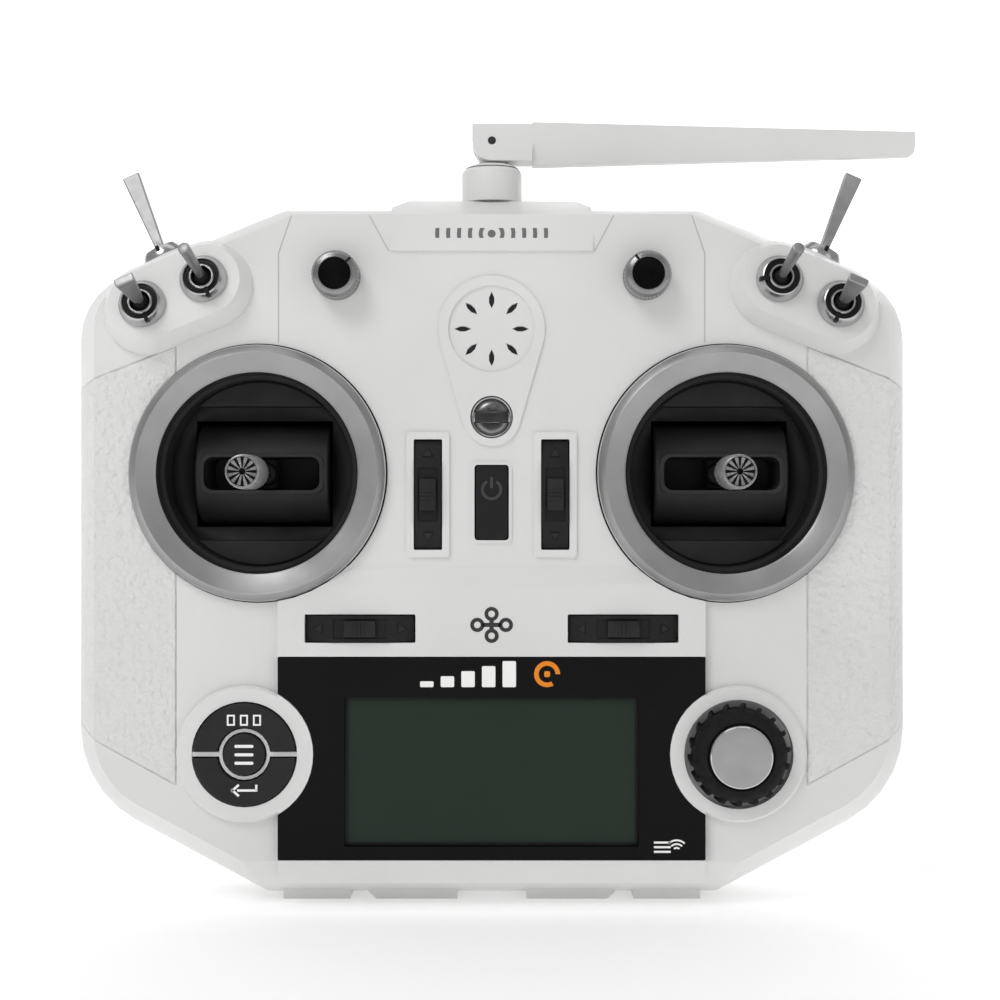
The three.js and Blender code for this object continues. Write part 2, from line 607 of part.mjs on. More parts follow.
function frontHousing() {
  const raised = joined([
    lowerPanel(), teardropPlateau(), uprightTrimFrames(), powerLip(),
    ...SIDES.map(({ name }) => pod(podFrames[name])),
  ]);
  const ringSeats = joined(SIDES.map(({ sign }) => rod(
    RING_OUTER_R + FIT, 0, PANEL_HEIGHT + 1, 'front', FINE, [sign * GIMBAL_X, FACE_Y, GIMBAL_Z])));
  const pillars = joined([
    atScrews(BOSS_R, INNER_FACE_Y - 1, SPLIT_Y + 1),
    rod(EYELET_R + 1.6, -EYELET_DEPTH - 1.6, -1, 'front', MEDIUM, [0, FACE_Y, EYELET_Z]),
  ]);
  const shell = joined([outside, raised]).subtract(ringSeats).subtract(cavity).add(pillars);

  const throughs = [
    ...SIDES.map(({ sign }) => rod(BOWL_R + FIT, -FAR, FAR, 'front', FINE,
      [sign * GIMBAL_X, 0, GIMBAL_Z])),
    ...SIDES.map(({ sign }) => rod(POT_SHAFT_R + FIT, -WALL - 1, 2, 'front', SMALL,
      [sign * POT_X, FACE_Y, POT_Z])),
    ...SIDES.flatMap(({ name }) => [-1, 1].map((end) => inRadio(podFrames[name],
      turnedGeometry(rodProfile(NUT_BORE_R, -12, 1), 'front', SMALL)
        .translate(end * TOGGLE_PITCH / 2, 0, 0)))),
    ...SIDES.map(({ sign }) => plate(roundedRectangle(TRIM_WIDTH + 2 * FIT, TRIM_LENGTH + 2 * FIT,
      0.3, sign * UPRIGHT_TRIM_X, UPRIGHT_TRIM_Z), FACE_Y - 3, INNER_FACE_Y + 1, 1)),
    ...SIDES.map(({ sign }) => plate(roundedRectangle(TRIM_LENGTH + 2 * FIT, TRIM_WIDTH + 2 * FIT,
      0.3, sign * LEVEL_TRIM_X, LEVEL_TRIM_Z), PANEL_Y - 1, INNER_FACE_Y + 1, 1)),
    plate(roundedRectangle(POWER_WIDTH + 2 * FIT, POWER_HEIGHT + 2 * FIT, 0.8, 0, POWER_Z),
      FACE_Y - 2, INNER_FACE_Y + 1, 2),
    plate(roundedRectangle(SCREEN_WIDTH + 2 * LCD_MARGIN + 2 * FIT,
      SCREEN_HEIGHT + 2 * LCD_MARGIN + 2 * FIT, 0.5, 0, SCREEN_Z), PANEL_Y, INNER_FACE_Y + 1, 1),
    rod(WELL_R, PANEL_HEIGHT - 3.4, FAR, 'front', FINE, [CLUSTER_X, FACE_Y, CLUSTER_Z]),
    rod(ENCODER_SHAFT_R + FIT, -WALL - 1, 1, 'front', SMALL, [CLUSTER_X, FACE_Y, CLUSTER_Z]),
    rod(EYELET_R, -EYELET_DEPTH, 2, 'front', MEDIUM, [0, FACE_Y, EYELET_Z]),
    keyHoles(),
    speakerSlots(),
    bezelOutline(FIT / 2).translate(0, PANEL_Y - 1 + BEZEL_THICKNESS + SEAT, 0),
    atScrews(SCREW_SHANK_R + FIT, INNER_FACE_Y + 1.5, SPLIT_Y + 2),
  ];
  return frontHalf(throughs.reduce((body, cutter) => body.subtract(cutter), shell));
}

function doorOpening(margin, front, back) {
  const halfWidth = DOOR_WIDTH / 2 + margin;
  return box([-halfWidth, halfWidth], [front, back],
    [DOOR_BOTTOM_Z - margin, DOOR_BOTTOM_Z + DOOR_HEIGHT + margin]);
}
function coverOpening(margin, front, back) {
  return plate(roundedRectangle(COVER_WIDTH + 2 * margin, COVER_HEIGHT + 2 * margin, 3, 0, COVER_Z),
    front, back, 3);
}

function rearHousing() {
  const extra = joined([rearGrips(), ...SIDES.map(({ name }) => (
    shoulderBoss(shoulderToggleFrames[name])))]);
  const boardPosts = joined(SIDES.flatMap(({ sign }) => (
    [BOARD_BOTTOM_Z + 4, BOARD_TOP_Z - 4].map((z) => rod(2.5, -INNER_BACK_Y - 1,
      -(BOARD_Y + BOARD_THICKNESS + SEAT), 'front', SMALL, [sign * (BOARD_HALF_WIDTH - 6), 0, z])))));
  const shell = joined([outside, extra]).subtract(cavity)
    .add(atScrews(BOSS_R, SPLIT_Y, INNER_BACK_Y + 1)).add(boardPosts);
  const cutters = [
    doorOpening(FIT, BACK_Y - DOOR_THICKNESS - SEAT, FAR),
    doorOpening(-1.6, INNER_BACK_Y - 1, FAR),
    coverOpening(FIT, BACK_Y - 1, FAR),
    atScrews(SCREW_SHANK_R + FIT, SPLIT_Y - 1, FAR),
    atScrews(SCREW_HEAD_R + FIT, BACK_Y - 4, FAR),
    ...SIDES.map(({ name }) => inRadio(shoulderToggleFrames[name],
      turnedGeometry(rodProfile(NUT_BORE_R, -9, 1), 'front', SMALL))),
  ];
  return rearHalf(cutters.reduce((body, cutter) => body.subtract(cutter), shell));
}

addPiece('front_housing', frontHousing(), MATERIALS.whiteShell);
addPiece('rear_housing', rearHousing(), MATERIALS.whiteShell);

// ---------------------------------------------------------------- rear pieces and insides
function carryHandle() {
  const front = BACK_Y + SEAT;
  const outer = polygon([
    [-HANDLE_HALF_WIDTH, front], [HANDLE_HALF_WIDTH, front],
    [HANDLE_HALF_WIDTH, HANDLE_BACK_Y - 5], [HANDLE_HALF_WIDTH - 5, HANDLE_BACK_Y],
    [5 - HANDLE_HALF_WIDTH, HANDLE_BACK_Y], [-HANDLE_HALF_WIDTH, HANDLE_BACK_Y - 5],
  ]);
  const innerHalf = HANDLE_HALF_WIDTH - HANDLE_THICKNESS - 1;
  const inner = box([-innerHalf, innerHalf], [0, HANDLE_BACK_Y - HANDLE_THICKNESS], [0, FAR]);
  const low = HANDLE_Z - HANDLE_HEIGHT / 2;
  return planProfile(outer, low, low + HANDLE_HEIGHT).subtract(inner);
}

function batteryDoor() {
  const halfWidth = DOOR_WIDTH / 2;
  return box([-halfWidth, halfWidth], [BACK_Y - DOOR_THICKNESS, BACK_Y + 0.2],
    [DOOR_BOTTOM_Z, DOOR_BOTTOM_Z + DOOR_HEIGHT]);
}

function screw() {
  const seat = -(BACK_Y - 4);
  const tip = seat + SCREW_LENGTH;
  return turned([[0, seat - 2], [SCREW_HEAD_R, seat - 1.2], [SCREW_HEAD_R, seat - SEAT],
    [SCREW_SHANK_R, seat - SEAT], [SCREW_SHANK_R, tip - 2], [0, tip]], 'front', SMALL);
}

const lcdFront = PANEL_Y + BEZEL_THICKNESS + SEAT;
addPiece('carry_handle', carryHandle(), MATERIALS.whiteShell);
addPiece('battery_door', batteryDoor(), MATERIALS.whiteShell);
addPiece('module_cover', coverOpening(0, BACK_Y - 1 + SEAT, BACK_Y - 1 + SEAT + COVER_THICKNESS),
  MATERIALS.whiteShell);
addPiece('screen_bezel', bezelOutline(0)
  .intersect(box([-FAR, FAR], [-1, BEZEL_THICKNESS - 1], [-FAR, FAR]))
  .subtract(plate(roundedRectangle(SCREEN_WIDTH, SCREEN_HEIGHT, 0.6, 0, SCREEN_Z), -2, 2, 2)),
MATERIALS.glossBlack, frameAt(radio, [0, PANEL_Y + 1, 0]));
addPiece('lcd_panel', plate(roundedRectangle(SCREEN_WIDTH + 2 * LCD_MARGIN,
  SCREEN_HEIGHT + 2 * LCD_MARGIN, 0.5, 0, SCREEN_Z), lcdFront, lcdFront + LCD_THICKNESS, 1),
MATERIALS.screen);
addPiece('main_board', plate(polygon([
  [-BOARD_HALF_WIDTH, BOARD_BOTTOM_Z], [BOARD_HALF_WIDTH, BOARD_BOTTOM_Z],
  [BOARD_HALF_WIDTH, BOARD_TOP_Z], [-BOARD_HALF_WIDTH, BOARD_TOP_Z],
]), BOARD_Y, BOARD_Y + BOARD_THICKNESS), MATERIALS.board);
addPiece('speaker', turned([[0, 0], [SPEAKER_R - 3, 0], [SPEAKER_R - 3, 2], [SPEAKER_R, 3],
  [SPEAKER_R, 5], [0, 5]], 'front', MEDIUM, [0, INNER_FACE_Y + SEAT + 5, SPEAKER_Z]),
MATERIALS.blackPlastic);
const packBack = BACK_Y - DOOR_THICKNESS - FIT;
addPiece('battery_pack', planProfile(roundedRectangle(DOOR_WIDTH - 3 * PACK_MARGIN, PACK_DEPTH, 4,
  0, packBack - PACK_DEPTH / 2), DOOR_BOTTOM_Z + PACK_MARGIN,
DOOR_BOTTOM_Z + DOOR_HEIGHT - PACK_MARGIN, 4), MATERIALS.battery);
SIDES.forEach(({ name, sign }) => {
  [['lower', LOW_SCREW_Z], ['upper', HIGH_SCREW_Z]].forEach(([level, z]) => {
    addPiece(`case_screw_${level}_${name}`, screw(), MATERIALS.steel,
      frameAt(radio, [sign * SCREW_X, 0, z]));
  });
});

function strapEyelet() {
  const bottom = -EYELET_DEPTH + SEAT;
  const dish = rod(EYELET_R - FIT, bottom, bottom + 1, 'front', MEDIUM);
  const bar = rod(1.1, FIT - EYELET_R, EYELET_R - FIT, 'right', SMALL, [0, 1.4, 0]);
  const arch = [-1, 1].map((end) => {
    const inner = end * (EYELET_R - FIT - 0.4);
    const ends = [inner, inner - end * 1.8].sort((a, b) => a - b);
    return box(ends, [1, -bottom], [-1.1, 1.1]);
  });
  return joined([dish, bar, ...arch]);
}
addPiece('strap_eyelet', strapEyelet(), MATERIALS.chrome, frameAt(radio, [0, FACE_Y, EYELET_Z]));

// ---------------------------------------------------------------- gimbals
const FLOOR_HEIGHT = 6;           // bowl floor in front of the pivot
const WINDOW_HALF_LENGTH = DRUM_HALF_LENGTH + 0.5;
const WINDOW_HALF_HEIGHT = DRUM_R + 0.8;
const AXLE_R = 2;
const TRUNNION_R = 1.2;

function gimbalRing() {
  const [low, high] = [GIMBAL_DEPTH + SEAT, GIMBAL_DEPTH + RING_HEIGHT];
  return turned([[RING_INNER_R, low], [RING_OUTER_R, low], [RING_OUTER_R, high - 2.2],
    [RING_OUTER_R - 2.1, high], [RING_INNER_R + 0.5, high], [RING_INNER_R, high - 0.5],
    [RING_INNER_R, low]], 'front', FINE);
}

function gimbalFrame() {
  const rim = GIMBAL_DEPTH - FIT;
  const inner = BOWL_R - BOWL_WALL;
  const bowl = turned([[0, FLOOR_HEIGHT - 1.6], [BOWL_R, FLOOR_HEIGHT - 1.6], [BOWL_R, rim],
    [inner, rim], [inner, FLOOR_HEIGHT], [0, FLOOR_HEIGHT]], 'front', FINE);
  const window = box([-WINDOW_HALF_LENGTH, WINDOW_HALF_LENGTH], [-FLOOR_HEIGHT - 1, FAR],
    [-WINDOW_HALF_HEIGHT, WINDOW_HALF_HEIGHT]);
  const cheeks = [-1, 1].map((end) => {
    const ends = [end * WINDOW_HALF_LENGTH, end * (WINDOW_HALF_LENGTH + 3.8)].sort((a, b) => a - b);
    return box(ends, [1 - FLOOR_HEIGHT, 6], [-7, 7]);
  });
  const axleHole = rod(AXLE_R + FIT, -BOWL_R, BOWL_R, 'right', SMALL);
  const axleSpan = box([-BOWL_R, BOWL_R], [-AXLE_R - 1, AXLE_R + 1], [-AXLE_R - 1, AXLE_R + 1]);
  return joined([bowl.subtract(window), ...cheeks]).subtract(axleHole.intersect(axleSpan));
}

function gimbalDrum() {
  const end = DRUM_HALF_LENGTH;
  const stub = WINDOW_HALF_LENGTH + 3.2;
  const barrel = turned([[0, -stub], [AXLE_R, -stub], [AXLE_R, -end], [DRUM_R, -end],
    [DRUM_R, end], [AXLE_R, end], [AXLE_R, stub], [0, stub]], 'right', MEDIUM);
  const slot = plate(roundedRectangle(SLOT_LENGTH, SLOT_HEIGHT, 2), -FAR, FAR, 3);
  return barrel.subtract(slot).subtract(rod(TRUNNION_R + FIT, -7, 7, 'up', SMALL));
}

function stickShaft() {
  const hub = rod(3.2, -SLOT_HEIGHT / 2 + 0.4, SLOT_HEIGHT / 2 - 0.4, 'up', MEDIUM);
  const trunnions = rod(TRUNNION_R, -6.5, 6.5, 'up', SMALL);
  const shaft = rod(STICK_R, 1, STICK_REACH - 6, 'front', SMALL);
  return joined([hub, trunnions, shaft]);
}

function stickTip() {
  const back = STICK_REACH - TIP_LENGTH;
  const depth = STICK_REACH - 5;
  return turned([[STICK_R + 0.15, back], [TIP_R - 0.8, back], [TIP_R, back + 1],
    [TIP_R, STICK_REACH - 0.4], [TIP_R - 0.4, STICK_REACH], [0, STICK_REACH], [0, depth],
    [STICK_R + 0.15, depth], [STICK_R + 0.15, back]], 'front', 16);
}

SIDES.forEach(({ name }) => {
  const frame = gimbalFrames[name];
  addPiece(`gimbal_ring_${name}`, gimbalRing(), MATERIALS.satinAluminium, frame);
  addPiece(`gimbal_frame_${name}`, gimbalFrame(), MATERIALS.blackPlastic, frame);
  addPiece(`gimbal_drum_${name}`, gimbalDrum(), MATERIALS.blackPlastic, frame);
  addPiece(`stick_shaft_${name}`, stickShaft(), MATERIALS.steel, frame);
  addPiece(`stick_tip_${name}`, stickTip(), MATERIALS.satinAluminium, frame);
});

// ---------------------------------------------------------------- toggle switches
const PIVOT_HEIGHT = 1;
const BALL_R = 2.5;
const NUT_FOOT = 0.15;

function switchNut() {
  const body = turned([[NUT_BORE_R, NUT_FOOT], [NUT_R, NUT_FOOT], [NUT_R, 1],
    [NUT_R - 1.3, NUT_HEIGHT], [NUT_BORE_R, NUT_HEIGHT], [NUT_BORE_R, NUT_FOOT]], 'front', 16);
  const notch = box([-0.45, 0.45], [-NUT_HEIGHT - 1, -1.2], [-NUT_R - 1, -NUT_BORE_R + 1]);
  return body.subtract(notch);
}

function ball() {
  return solid(new THREE.SphereGeometry(BALL_R, 10, 6));
}
function roundLever(length) {
  const shaft = turned([[0, 0], [1.1, 0], [1.1, 3], [1.35, length - 0.8], [0.9, length],
    [0, length]], 'front', SMALL);
  return joined([ball(), shaft]);
}
function flatLever(length, rootWidth, tipWidth, thickness) {
  const neck = 3;
  const blade = planProfile(polygon([
    [-rootWidth / 2, -neck], [-tipWidth / 2, 0.6 - length], [0.6 - tipWidth / 2, -length],
    [tipWidth / 2 - 0.6, -length], [tipWidth / 2, 0.6 - length], [rootWidth / 2, -neck],
  ]), -thickness / 2, thickness / 2);
  return joined([ball(), rod(1.1, 0, neck + 1.5, 'front', SMALL), blade]);
}

function addToggle(name, frame, place, leverPiece, lean, tiltY = 0) {
  const base = frameAt(frame, place);
  addPiece(`${name}_nut`, switchNut(), MATERIALS.chrome, base);
  const lever = frameAt(base, [0, -PIVOT_HEIGHT, 0], [lean, 0, tiltY]);
  addPiece(`${name}_lever`, leverPiece, MATERIALS.chrome, lever);
}

SIDES.forEach(({ name, sign }) => {
  const half = sign * TOGGLE_PITCH / 2;
  addToggle(`${name}_outer_toggle`, podFrames[name], [half, 0, 0],
    flatLever(13, 2.4, 4.8, 2.1), -OUTER_TOGGLE_LEAN);
  addToggle(`${name}_inner_toggle`, podFrames[name], [-half, 0, 0],
    roundLever(14.5), -INNER_TOGGLE_LEAN);
  addToggle(`${name}_shoulder_toggle`, shoulderToggleFrames[name], [0, 0, 0],
    flatLever(23.7, 2.4, 4.6, 2), -SHOULDER_TOGGLE_LEAN, sign * SHOULDER_LEVER_TILT);
});

// ---------------------------------------------------------------- pots, keys, encoder, trims
function potKnob() {
  return turned([[0, -5], [POT_SHAFT_R, -5], [POT_SHAFT_R, FIT], [POT_R, FIT],
    [POT_R, POT_HEIGHT - 0.6], [POT_R - 0.6, POT_HEIGHT], [3.9, POT_HEIGHT],
    [3.8, POT_HEIGHT - 0.4], [0, POT_HEIGHT - 0.4]], 'front', 18);
}
SIDES.forEach(({ name, sign }) => addPiece(`${name}_pot_knob`, potKnob(),
  MATERIALS.satinAluminium, frameAt(radio, [sign * POT_X, FACE_Y, POT_Z])));

addPiece('power_button', plate(roundedRectangle(POWER_WIDTH, POWER_HEIGHT, 0.8, 0, POWER_Z),
  FACE_Y - 0.9, INNER_FACE_Y - 0.2, 3), MATERIALS.blackPlastic);

function halfRingKey(side) {
  const inner = MENU_R + FIT + KEY_WEB;
  const shape = disc(KEY_R, 0, 0);
  shape.holes.push(new THREE.Path().absarc(0, 0, inner, 0, 2 * Math.PI, true));
  const ring = plate(shape, -KEY_THICKNESS, 0, 14);
  const low = KEY_WEB / 2 + FIT;
  const keep = side > 0 ? [low, KEY_R + 1] : [-KEY_R - 1, -low];
  return ring.intersect(box([-KEY_R - 1, KEY_R + 1], [-FAR, FAR], keep));
}
const keyFrame = frameAt(radio, [-CLUSTER_X, PANEL_Y - KEY_PROUD + KEY_THICKNESS, CLUSTER_Z]);
addPiece('page_button', halfRingKey(1), MATERIALS.blackPlastic, keyFrame);
addPiece('exit_button', halfRingKey(-1), MATERIALS.blackPlastic, keyFrame);
addPiece('menu_button', rod(MENU_R, 0, KEY_THICKNESS, 'front', MEDIUM), MATERIALS.blackPlastic, keyFrame);

function toothedKnob() {
  const shape = new THREE.Shape();
  const pitch = 2 * Math.PI / KNOB_TEETH;
  const root = KNOB_R - 1.3;
  for (let i = 0; i < KNOB_TEETH; i += 1) {
    [[0, root], [0.12, KNOB_R], [0.55, KNOB_R], [0.75, root]].forEach(([share, radius]) => {
      const angle = (i + share) * pitch;
      const point = [radius * Math.cos(angle), radius * Math.sin(angle)];
      if (i === 0 && share === 0) shape.moveTo(...point);
      else shape.lineTo(...point);
    });
  }
  shape.closePath();
  const bore = rod(ENCODER_SHAFT_R + 2 * SEAT, -1, 3, 'front', SMALL);
  const pocket = rod(CAP_R + FIT / 2, KNOB_HEIGHT - 1, FAR, 'front', MEDIUM);
  return plate(shape, -KNOB_HEIGHT, 0).subtract(bore).subtract(pocket);
}
const knobFrame = frameAt(radio, [CLUSTER_X, FACE_Y + 0.2, CLUSTER_Z]);
addPiece('encoder_shaft', rod(ENCODER_SHAFT_R, -8, 3 - SEAT, 'front', SMALL), MATERIALS.steel, knobFrame);
addPiece('encoder_knob', toothedKnob(), MATERIALS.rubber, knobFrame);
addPiece('encoder_cap', turned([[0, KNOB_HEIGHT - 1 + SEAT], [CAP_R, KNOB_HEIGHT - 1 + SEAT],
  [CAP_R, KNOB_HEIGHT + 0.3], [CAP_R - 0.7, KNOB_HEIGHT + 0.9], [0, KNOB_HEIGHT + 0.9]],
'front', MEDIUM), MATERIALS.satinAluminium, knobFrame);

// A trim switch drawn upright: Z along its travel, its face towards -Y.
function trimInsert() {
  const half = TRIM_LENGTH / 2;
  const profile = new THREE.Shape();
  profile.moveTo(2, -half);
  profile.lineTo(2, half);
  profile.lineTo(0.3, half);
  profile.lineTo(-TRIM_CROWN, half / 2);
  profile.lineTo(-TRIM_CROWN, -half / 2);
  profile.lineTo(0.3, -half);
  profile.closePath();
  const slotHalf = TRIM_TAB_LENGTH / 2 + TRIM_TRAVEL + FIT;
  const slotWide = TRIM_TAB_WIDTH / 2 + FIT;
  return sideProfile(profile, -TRIM_WIDTH / 2, TRIM_WIDTH / 2)
    .subtract(box([-slotWide, slotWide], [-FAR, FAR], [-slotHalf, slotHalf]));
}
function trimTab() {
  const [halfWidth, half] = [TRIM_TAB_WIDTH / 2, TRIM_TAB_LENGTH / 2];
  return sideProfile(polygon([[1.5, -half], [1.5, half], [-TRIM_CROWN - 0.8, half],
    [-TRIM_CROWN - 1.6, half - 1], [-TRIM_CROWN - 1.6, 1 - half], [-TRIM_CROWN - 0.8, -half]]),
  -halfWidth, halfWidth);
}
SIDES.forEach(({ name, sign }) => {
  const upright = frameAt(radio, [sign * UPRIGHT_TRIM_X, FACE_Y, UPRIGHT_TRIM_Z]);
  const level = frameAt(radio, [sign * LEVEL_TRIM_X, PANEL_Y + 1, LEVEL_TRIM_Z], [0, Math.PI / 2, 0]);
  [['upright', upright], ['level', level]].forEach(([kind, frame]) => {
    addPiece(`${name}_${kind}_trim_insert`, trimInsert(), MATERIALS.blackPlastic, frame);
    addPiece(`${name}_${kind}_trim_tab`, trimTab(), MATERIALS.blackPlastic, frame);
  });
});

// ---------------------------------------------------------------- antenna
const KNUCKLE_BORE_R = 5.2;
const PIN_Z = POST_HEIGHT + PIN_ABOVE_POST;
const antenna = frameAt(radio, [0, ANTENNA_Y, BLOCK_TOP_Z]);

function antennaPost() {
  return turned([[0, SEAT], [POST_R, SEAT], [POST_R, POST_HEIGHT - 0.8], [POST_R - 0.8, POST_HEIGHT],
    [KNUCKLE_BORE_R, POST_HEIGHT], [KNUCKLE_BORE_R, 2.5], [0, 2.5]], 'up', MEDIUM);
}
function antennaKnuckle() {
  const domeFoot = POST_HEIGHT + 0.2;
  const stem = turned([[0, 3], [KNUCKLE_BORE_R - FIT, 3], [KNUCKLE_BORE_R - FIT, domeFoot],
    [POST_R - 0.8, domeFoot], [POST_R - 2, domeFoot + 0.7], [POST_R - 4, domeFoot + 1.1],
    [0, domeFoot + 1.2]], 'up', MEDIUM);
  const tongue = new THREE.Shape();
  tongue.moveTo(-3.3, PIN_Z - 8);
  tongue.lineTo(3.3, PIN_Z - 8);
  tongue.absarc(0, PIN_Z, 3.3, 0, Math.PI, false);
  tongue.closePath();
  const half = TONGUE_THICKNESS / 2;
  return joined([stem, plate(tongue, -half, half, 10)])
    .subtract(rod(PIN_R + FIT / 2, -FAR, FAR, 'front', SMALL, [0, 0, PIN_Z]));
}

// Tool that takes one lower edge off the blade, from its middle height to its underside.
function bladeChamfer(side) {
  const outline = (height, thickness, top) => [
    [side * thickness / 2, top - height / 2], [side * thickness * 0.24, top - height],
    [side * thickness * 0.24, top - height - 2], [side * (thickness / 2 + 2), top - height - 2],
    [side * (thickness / 2 + 2), top - height / 2],
  ];
  const root = outline(BLADE_ROOT_HEIGHT, BLADE_ROOT_THICKNESS, PIN_Z + 4.6);
  const tip = outline(BLADE_TIP_HEIGHT, BLADE_TIP_THICKNESS, PIN_Z + 4.2 - BLADE_DROP);
  return wasm.Manifold.hull([
    ...root.map(([y, z]) => [BLADE_ROOT_X, y, z]), ...tip.map(([y, z]) => [BLADE_TIP_X + 2, y, z]),
  ]);
}

function antennaBlade() {
  const top = PIN_Z + 4.2;
  const shape = new THREE.Shape();
  shape.absarc(0, PIN_Z, HUB_R - 0.1, Math.PI, 1.5 * Math.PI, false);
  shape.lineTo(BLADE_ROOT_X, PIN_Z - HUB_R + 0.1);
  shape.lineTo(BLADE_ROOT_X, top + 0.4 - BLADE_ROOT_HEIGHT);
  const tipTop = top - BLADE_DROP;
  const tipLow = tipTop - BLADE_TIP_HEIGHT;
  shape.lineTo(BLADE_TIP_X - 2, tipLow);
  shape.quadraticCurveTo(BLADE_TIP_X, tipLow, BLADE_TIP_X, tipLow + 2);
  shape.lineTo(BLADE_TIP_X, tipTop);
  shape.lineTo(BLADE_ROOT_X, top + 0.4);
  shape.lineTo(BLADE_ROOT_X, top);
  shape.lineTo(0.1 - HUB_R, top);
  shape.closePath();
  const plan = polygon([
    [-FAR, -BLADE_ROOT_THICKNESS / 2], [BLADE_ROOT_X, -BLADE_ROOT_THICKNESS / 2],
    [BLADE_TIP_X, -BLADE_TIP_THICKNESS / 2], [BLADE_TIP_X, BLADE_TIP_THICKNESS / 2],
    [BLADE_ROOT_X, BLADE_ROOT_THICKNESS / 2], [-FAR, BLADE_ROOT_THICKNESS / 2],
  ]);
  const gap = TONGUE_THICKNESS / 2 + FIT;
  const slot = box([-FAR, 3.8], [-gap, gap], [-FAR, FAR]);
  return plate(shape, -10, 10, 6).intersect(planProfile(plan, -FAR, FAR))
    .subtract(slot).subtract(bladeChamfer(-1)).subtract(bladeChamfer(1))
    .subtract(rod(PIN_R + SEAT, -FAR, FAR, 'front', SMALL, [0, 0, PIN_Z]));
}
function antennaPin() {
  const half = BLADE_ROOT_THICKNESS / 2;
  return rod(PIN_R, -half + 0.3, half - 0.3, 'front', SMALL, [0, 0, PIN_Z]);
}
addPiece('antenna_post', antennaPost(), MATERIALS.whiteShell, antenna);
addPiece('antenna_knuckle', antennaKnuckle(), MATERIALS.whiteShell, antenna);
addPiece('antenna_blade', antennaBlade(), MATERIALS.whiteShell, antenna);
addPiece('antenna_pin', antennaPin(), MATERIALS.steel, antenna);

// The origin lies under the middle of the bounding box, which the antenna pushes off the case.
radio.position.x = (CASE_HALF_WIDTH - BLADE_TIP_X) / 2;
const part = new THREE.Group();
part.add(radio);

export default part;
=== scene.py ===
# %% [markdown]
# # A handheld radio transmitter controller
# The mechanical model comes in as a fixed frame: its bodies, joints and nodes are already in
# place, in metres. This lesson gives every visible piece its real surface. A piece whose shape
# is right keeps its node and gets a material. A piece that needs finer work is modelled on a
# small bench at the origin, in millimetres, and then carried to its place.

# %% Load the frame
import json
import math

import bmesh
import bpy
from mathutils import Matrix, Vector

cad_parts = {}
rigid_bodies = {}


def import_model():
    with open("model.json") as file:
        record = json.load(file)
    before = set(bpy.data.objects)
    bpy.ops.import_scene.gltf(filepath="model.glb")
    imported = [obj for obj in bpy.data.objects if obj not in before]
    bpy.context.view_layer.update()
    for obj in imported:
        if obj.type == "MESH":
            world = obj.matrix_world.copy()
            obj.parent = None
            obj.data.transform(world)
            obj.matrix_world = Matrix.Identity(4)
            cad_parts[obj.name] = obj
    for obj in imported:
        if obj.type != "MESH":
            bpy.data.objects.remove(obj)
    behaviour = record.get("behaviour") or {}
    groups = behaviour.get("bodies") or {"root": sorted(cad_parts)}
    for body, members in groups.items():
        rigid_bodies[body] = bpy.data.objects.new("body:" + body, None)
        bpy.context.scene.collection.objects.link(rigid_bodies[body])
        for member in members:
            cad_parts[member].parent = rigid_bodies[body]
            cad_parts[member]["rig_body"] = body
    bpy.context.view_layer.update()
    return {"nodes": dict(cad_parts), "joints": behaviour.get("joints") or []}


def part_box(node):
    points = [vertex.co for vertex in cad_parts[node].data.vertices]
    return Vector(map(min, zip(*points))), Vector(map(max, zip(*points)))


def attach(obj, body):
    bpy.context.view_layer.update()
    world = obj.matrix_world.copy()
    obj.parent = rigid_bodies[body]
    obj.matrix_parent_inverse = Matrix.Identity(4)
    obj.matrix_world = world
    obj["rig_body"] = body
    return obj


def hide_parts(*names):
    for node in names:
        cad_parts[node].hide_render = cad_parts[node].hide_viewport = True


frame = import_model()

NODES = frame["nodes"]
MM = 0.001
SIDES = {"left": -1, "right": 1}

# %% [markdown]
# Most places are worked out from the boxes of the nodes. The case is symmetrical, but the
# antenna pushes the origin off its middle, so the middle of the case has a name of its own.

# %% Places read from the frame
def middle(node):
    low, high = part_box(node)
    return (low + high) / 2

JOINTS = {joint["name"]: joint for joint in frame["joints"]}
CASE_X = middle("rear_housing").x
BEZEL_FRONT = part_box("screen_bezel")[0].y
PANEL_Y = BEZEL_FRONT
FACE_Y = PANEL_Y + 2 * MM
print("middle of the case at x", round(CASE_X / MM, 2), "mm, face at y", round(FACE_Y / MM, 2))

# %% [markdown]
# A product camera with a long lens stands level with the middle of the case and straight in
# front of it, so both sides look alike and only what stands proud shows its flanks.

# %% Camera
CAMERA_DISTANCE = 430 * MM
CAMERA_AIM = Vector((CASE_X + 2 * MM, FACE_Y, 98 * MM))

camera_data = bpy.data.cameras.new("product_camera")
camera_data.lens = 64.8
camera_data.clip_start = 0.01
camera = bpy.data.objects.new("product_camera", camera_data)
bpy.context.scene.collection.objects.link(camera)
towards_camera = Vector((0, -1, 0))
camera.location = CAMERA_AIM + towards_camera * CAMERA_DISTANCE
camera.rotation_euler = (-towards_camera).to_track_quat("-Z", "Y").to_euler()
bpy.context.scene.camera = camera

# %% [markdown]
# White plastic needs soft light that still comes from somewhere, or it turns into a flat
# cut-out. A pale sky fills the shadows, a large lamp high on the left models the forms, a
# weaker one on the right keeps the far side open, and a strip above draws the top edges.

# %% Light
world = bpy.data.worlds.new("studio")
bpy.context.scene.world = world
world.use_nodes = True
sky = world.node_tree.nodes["Background"]
sky.inputs["Color"].default_value = (1, 1, 1, 1)
sky.inputs["Strength"].default_value = 0.4
bpy.context.scene.view_settings.view_transform = "Standard"

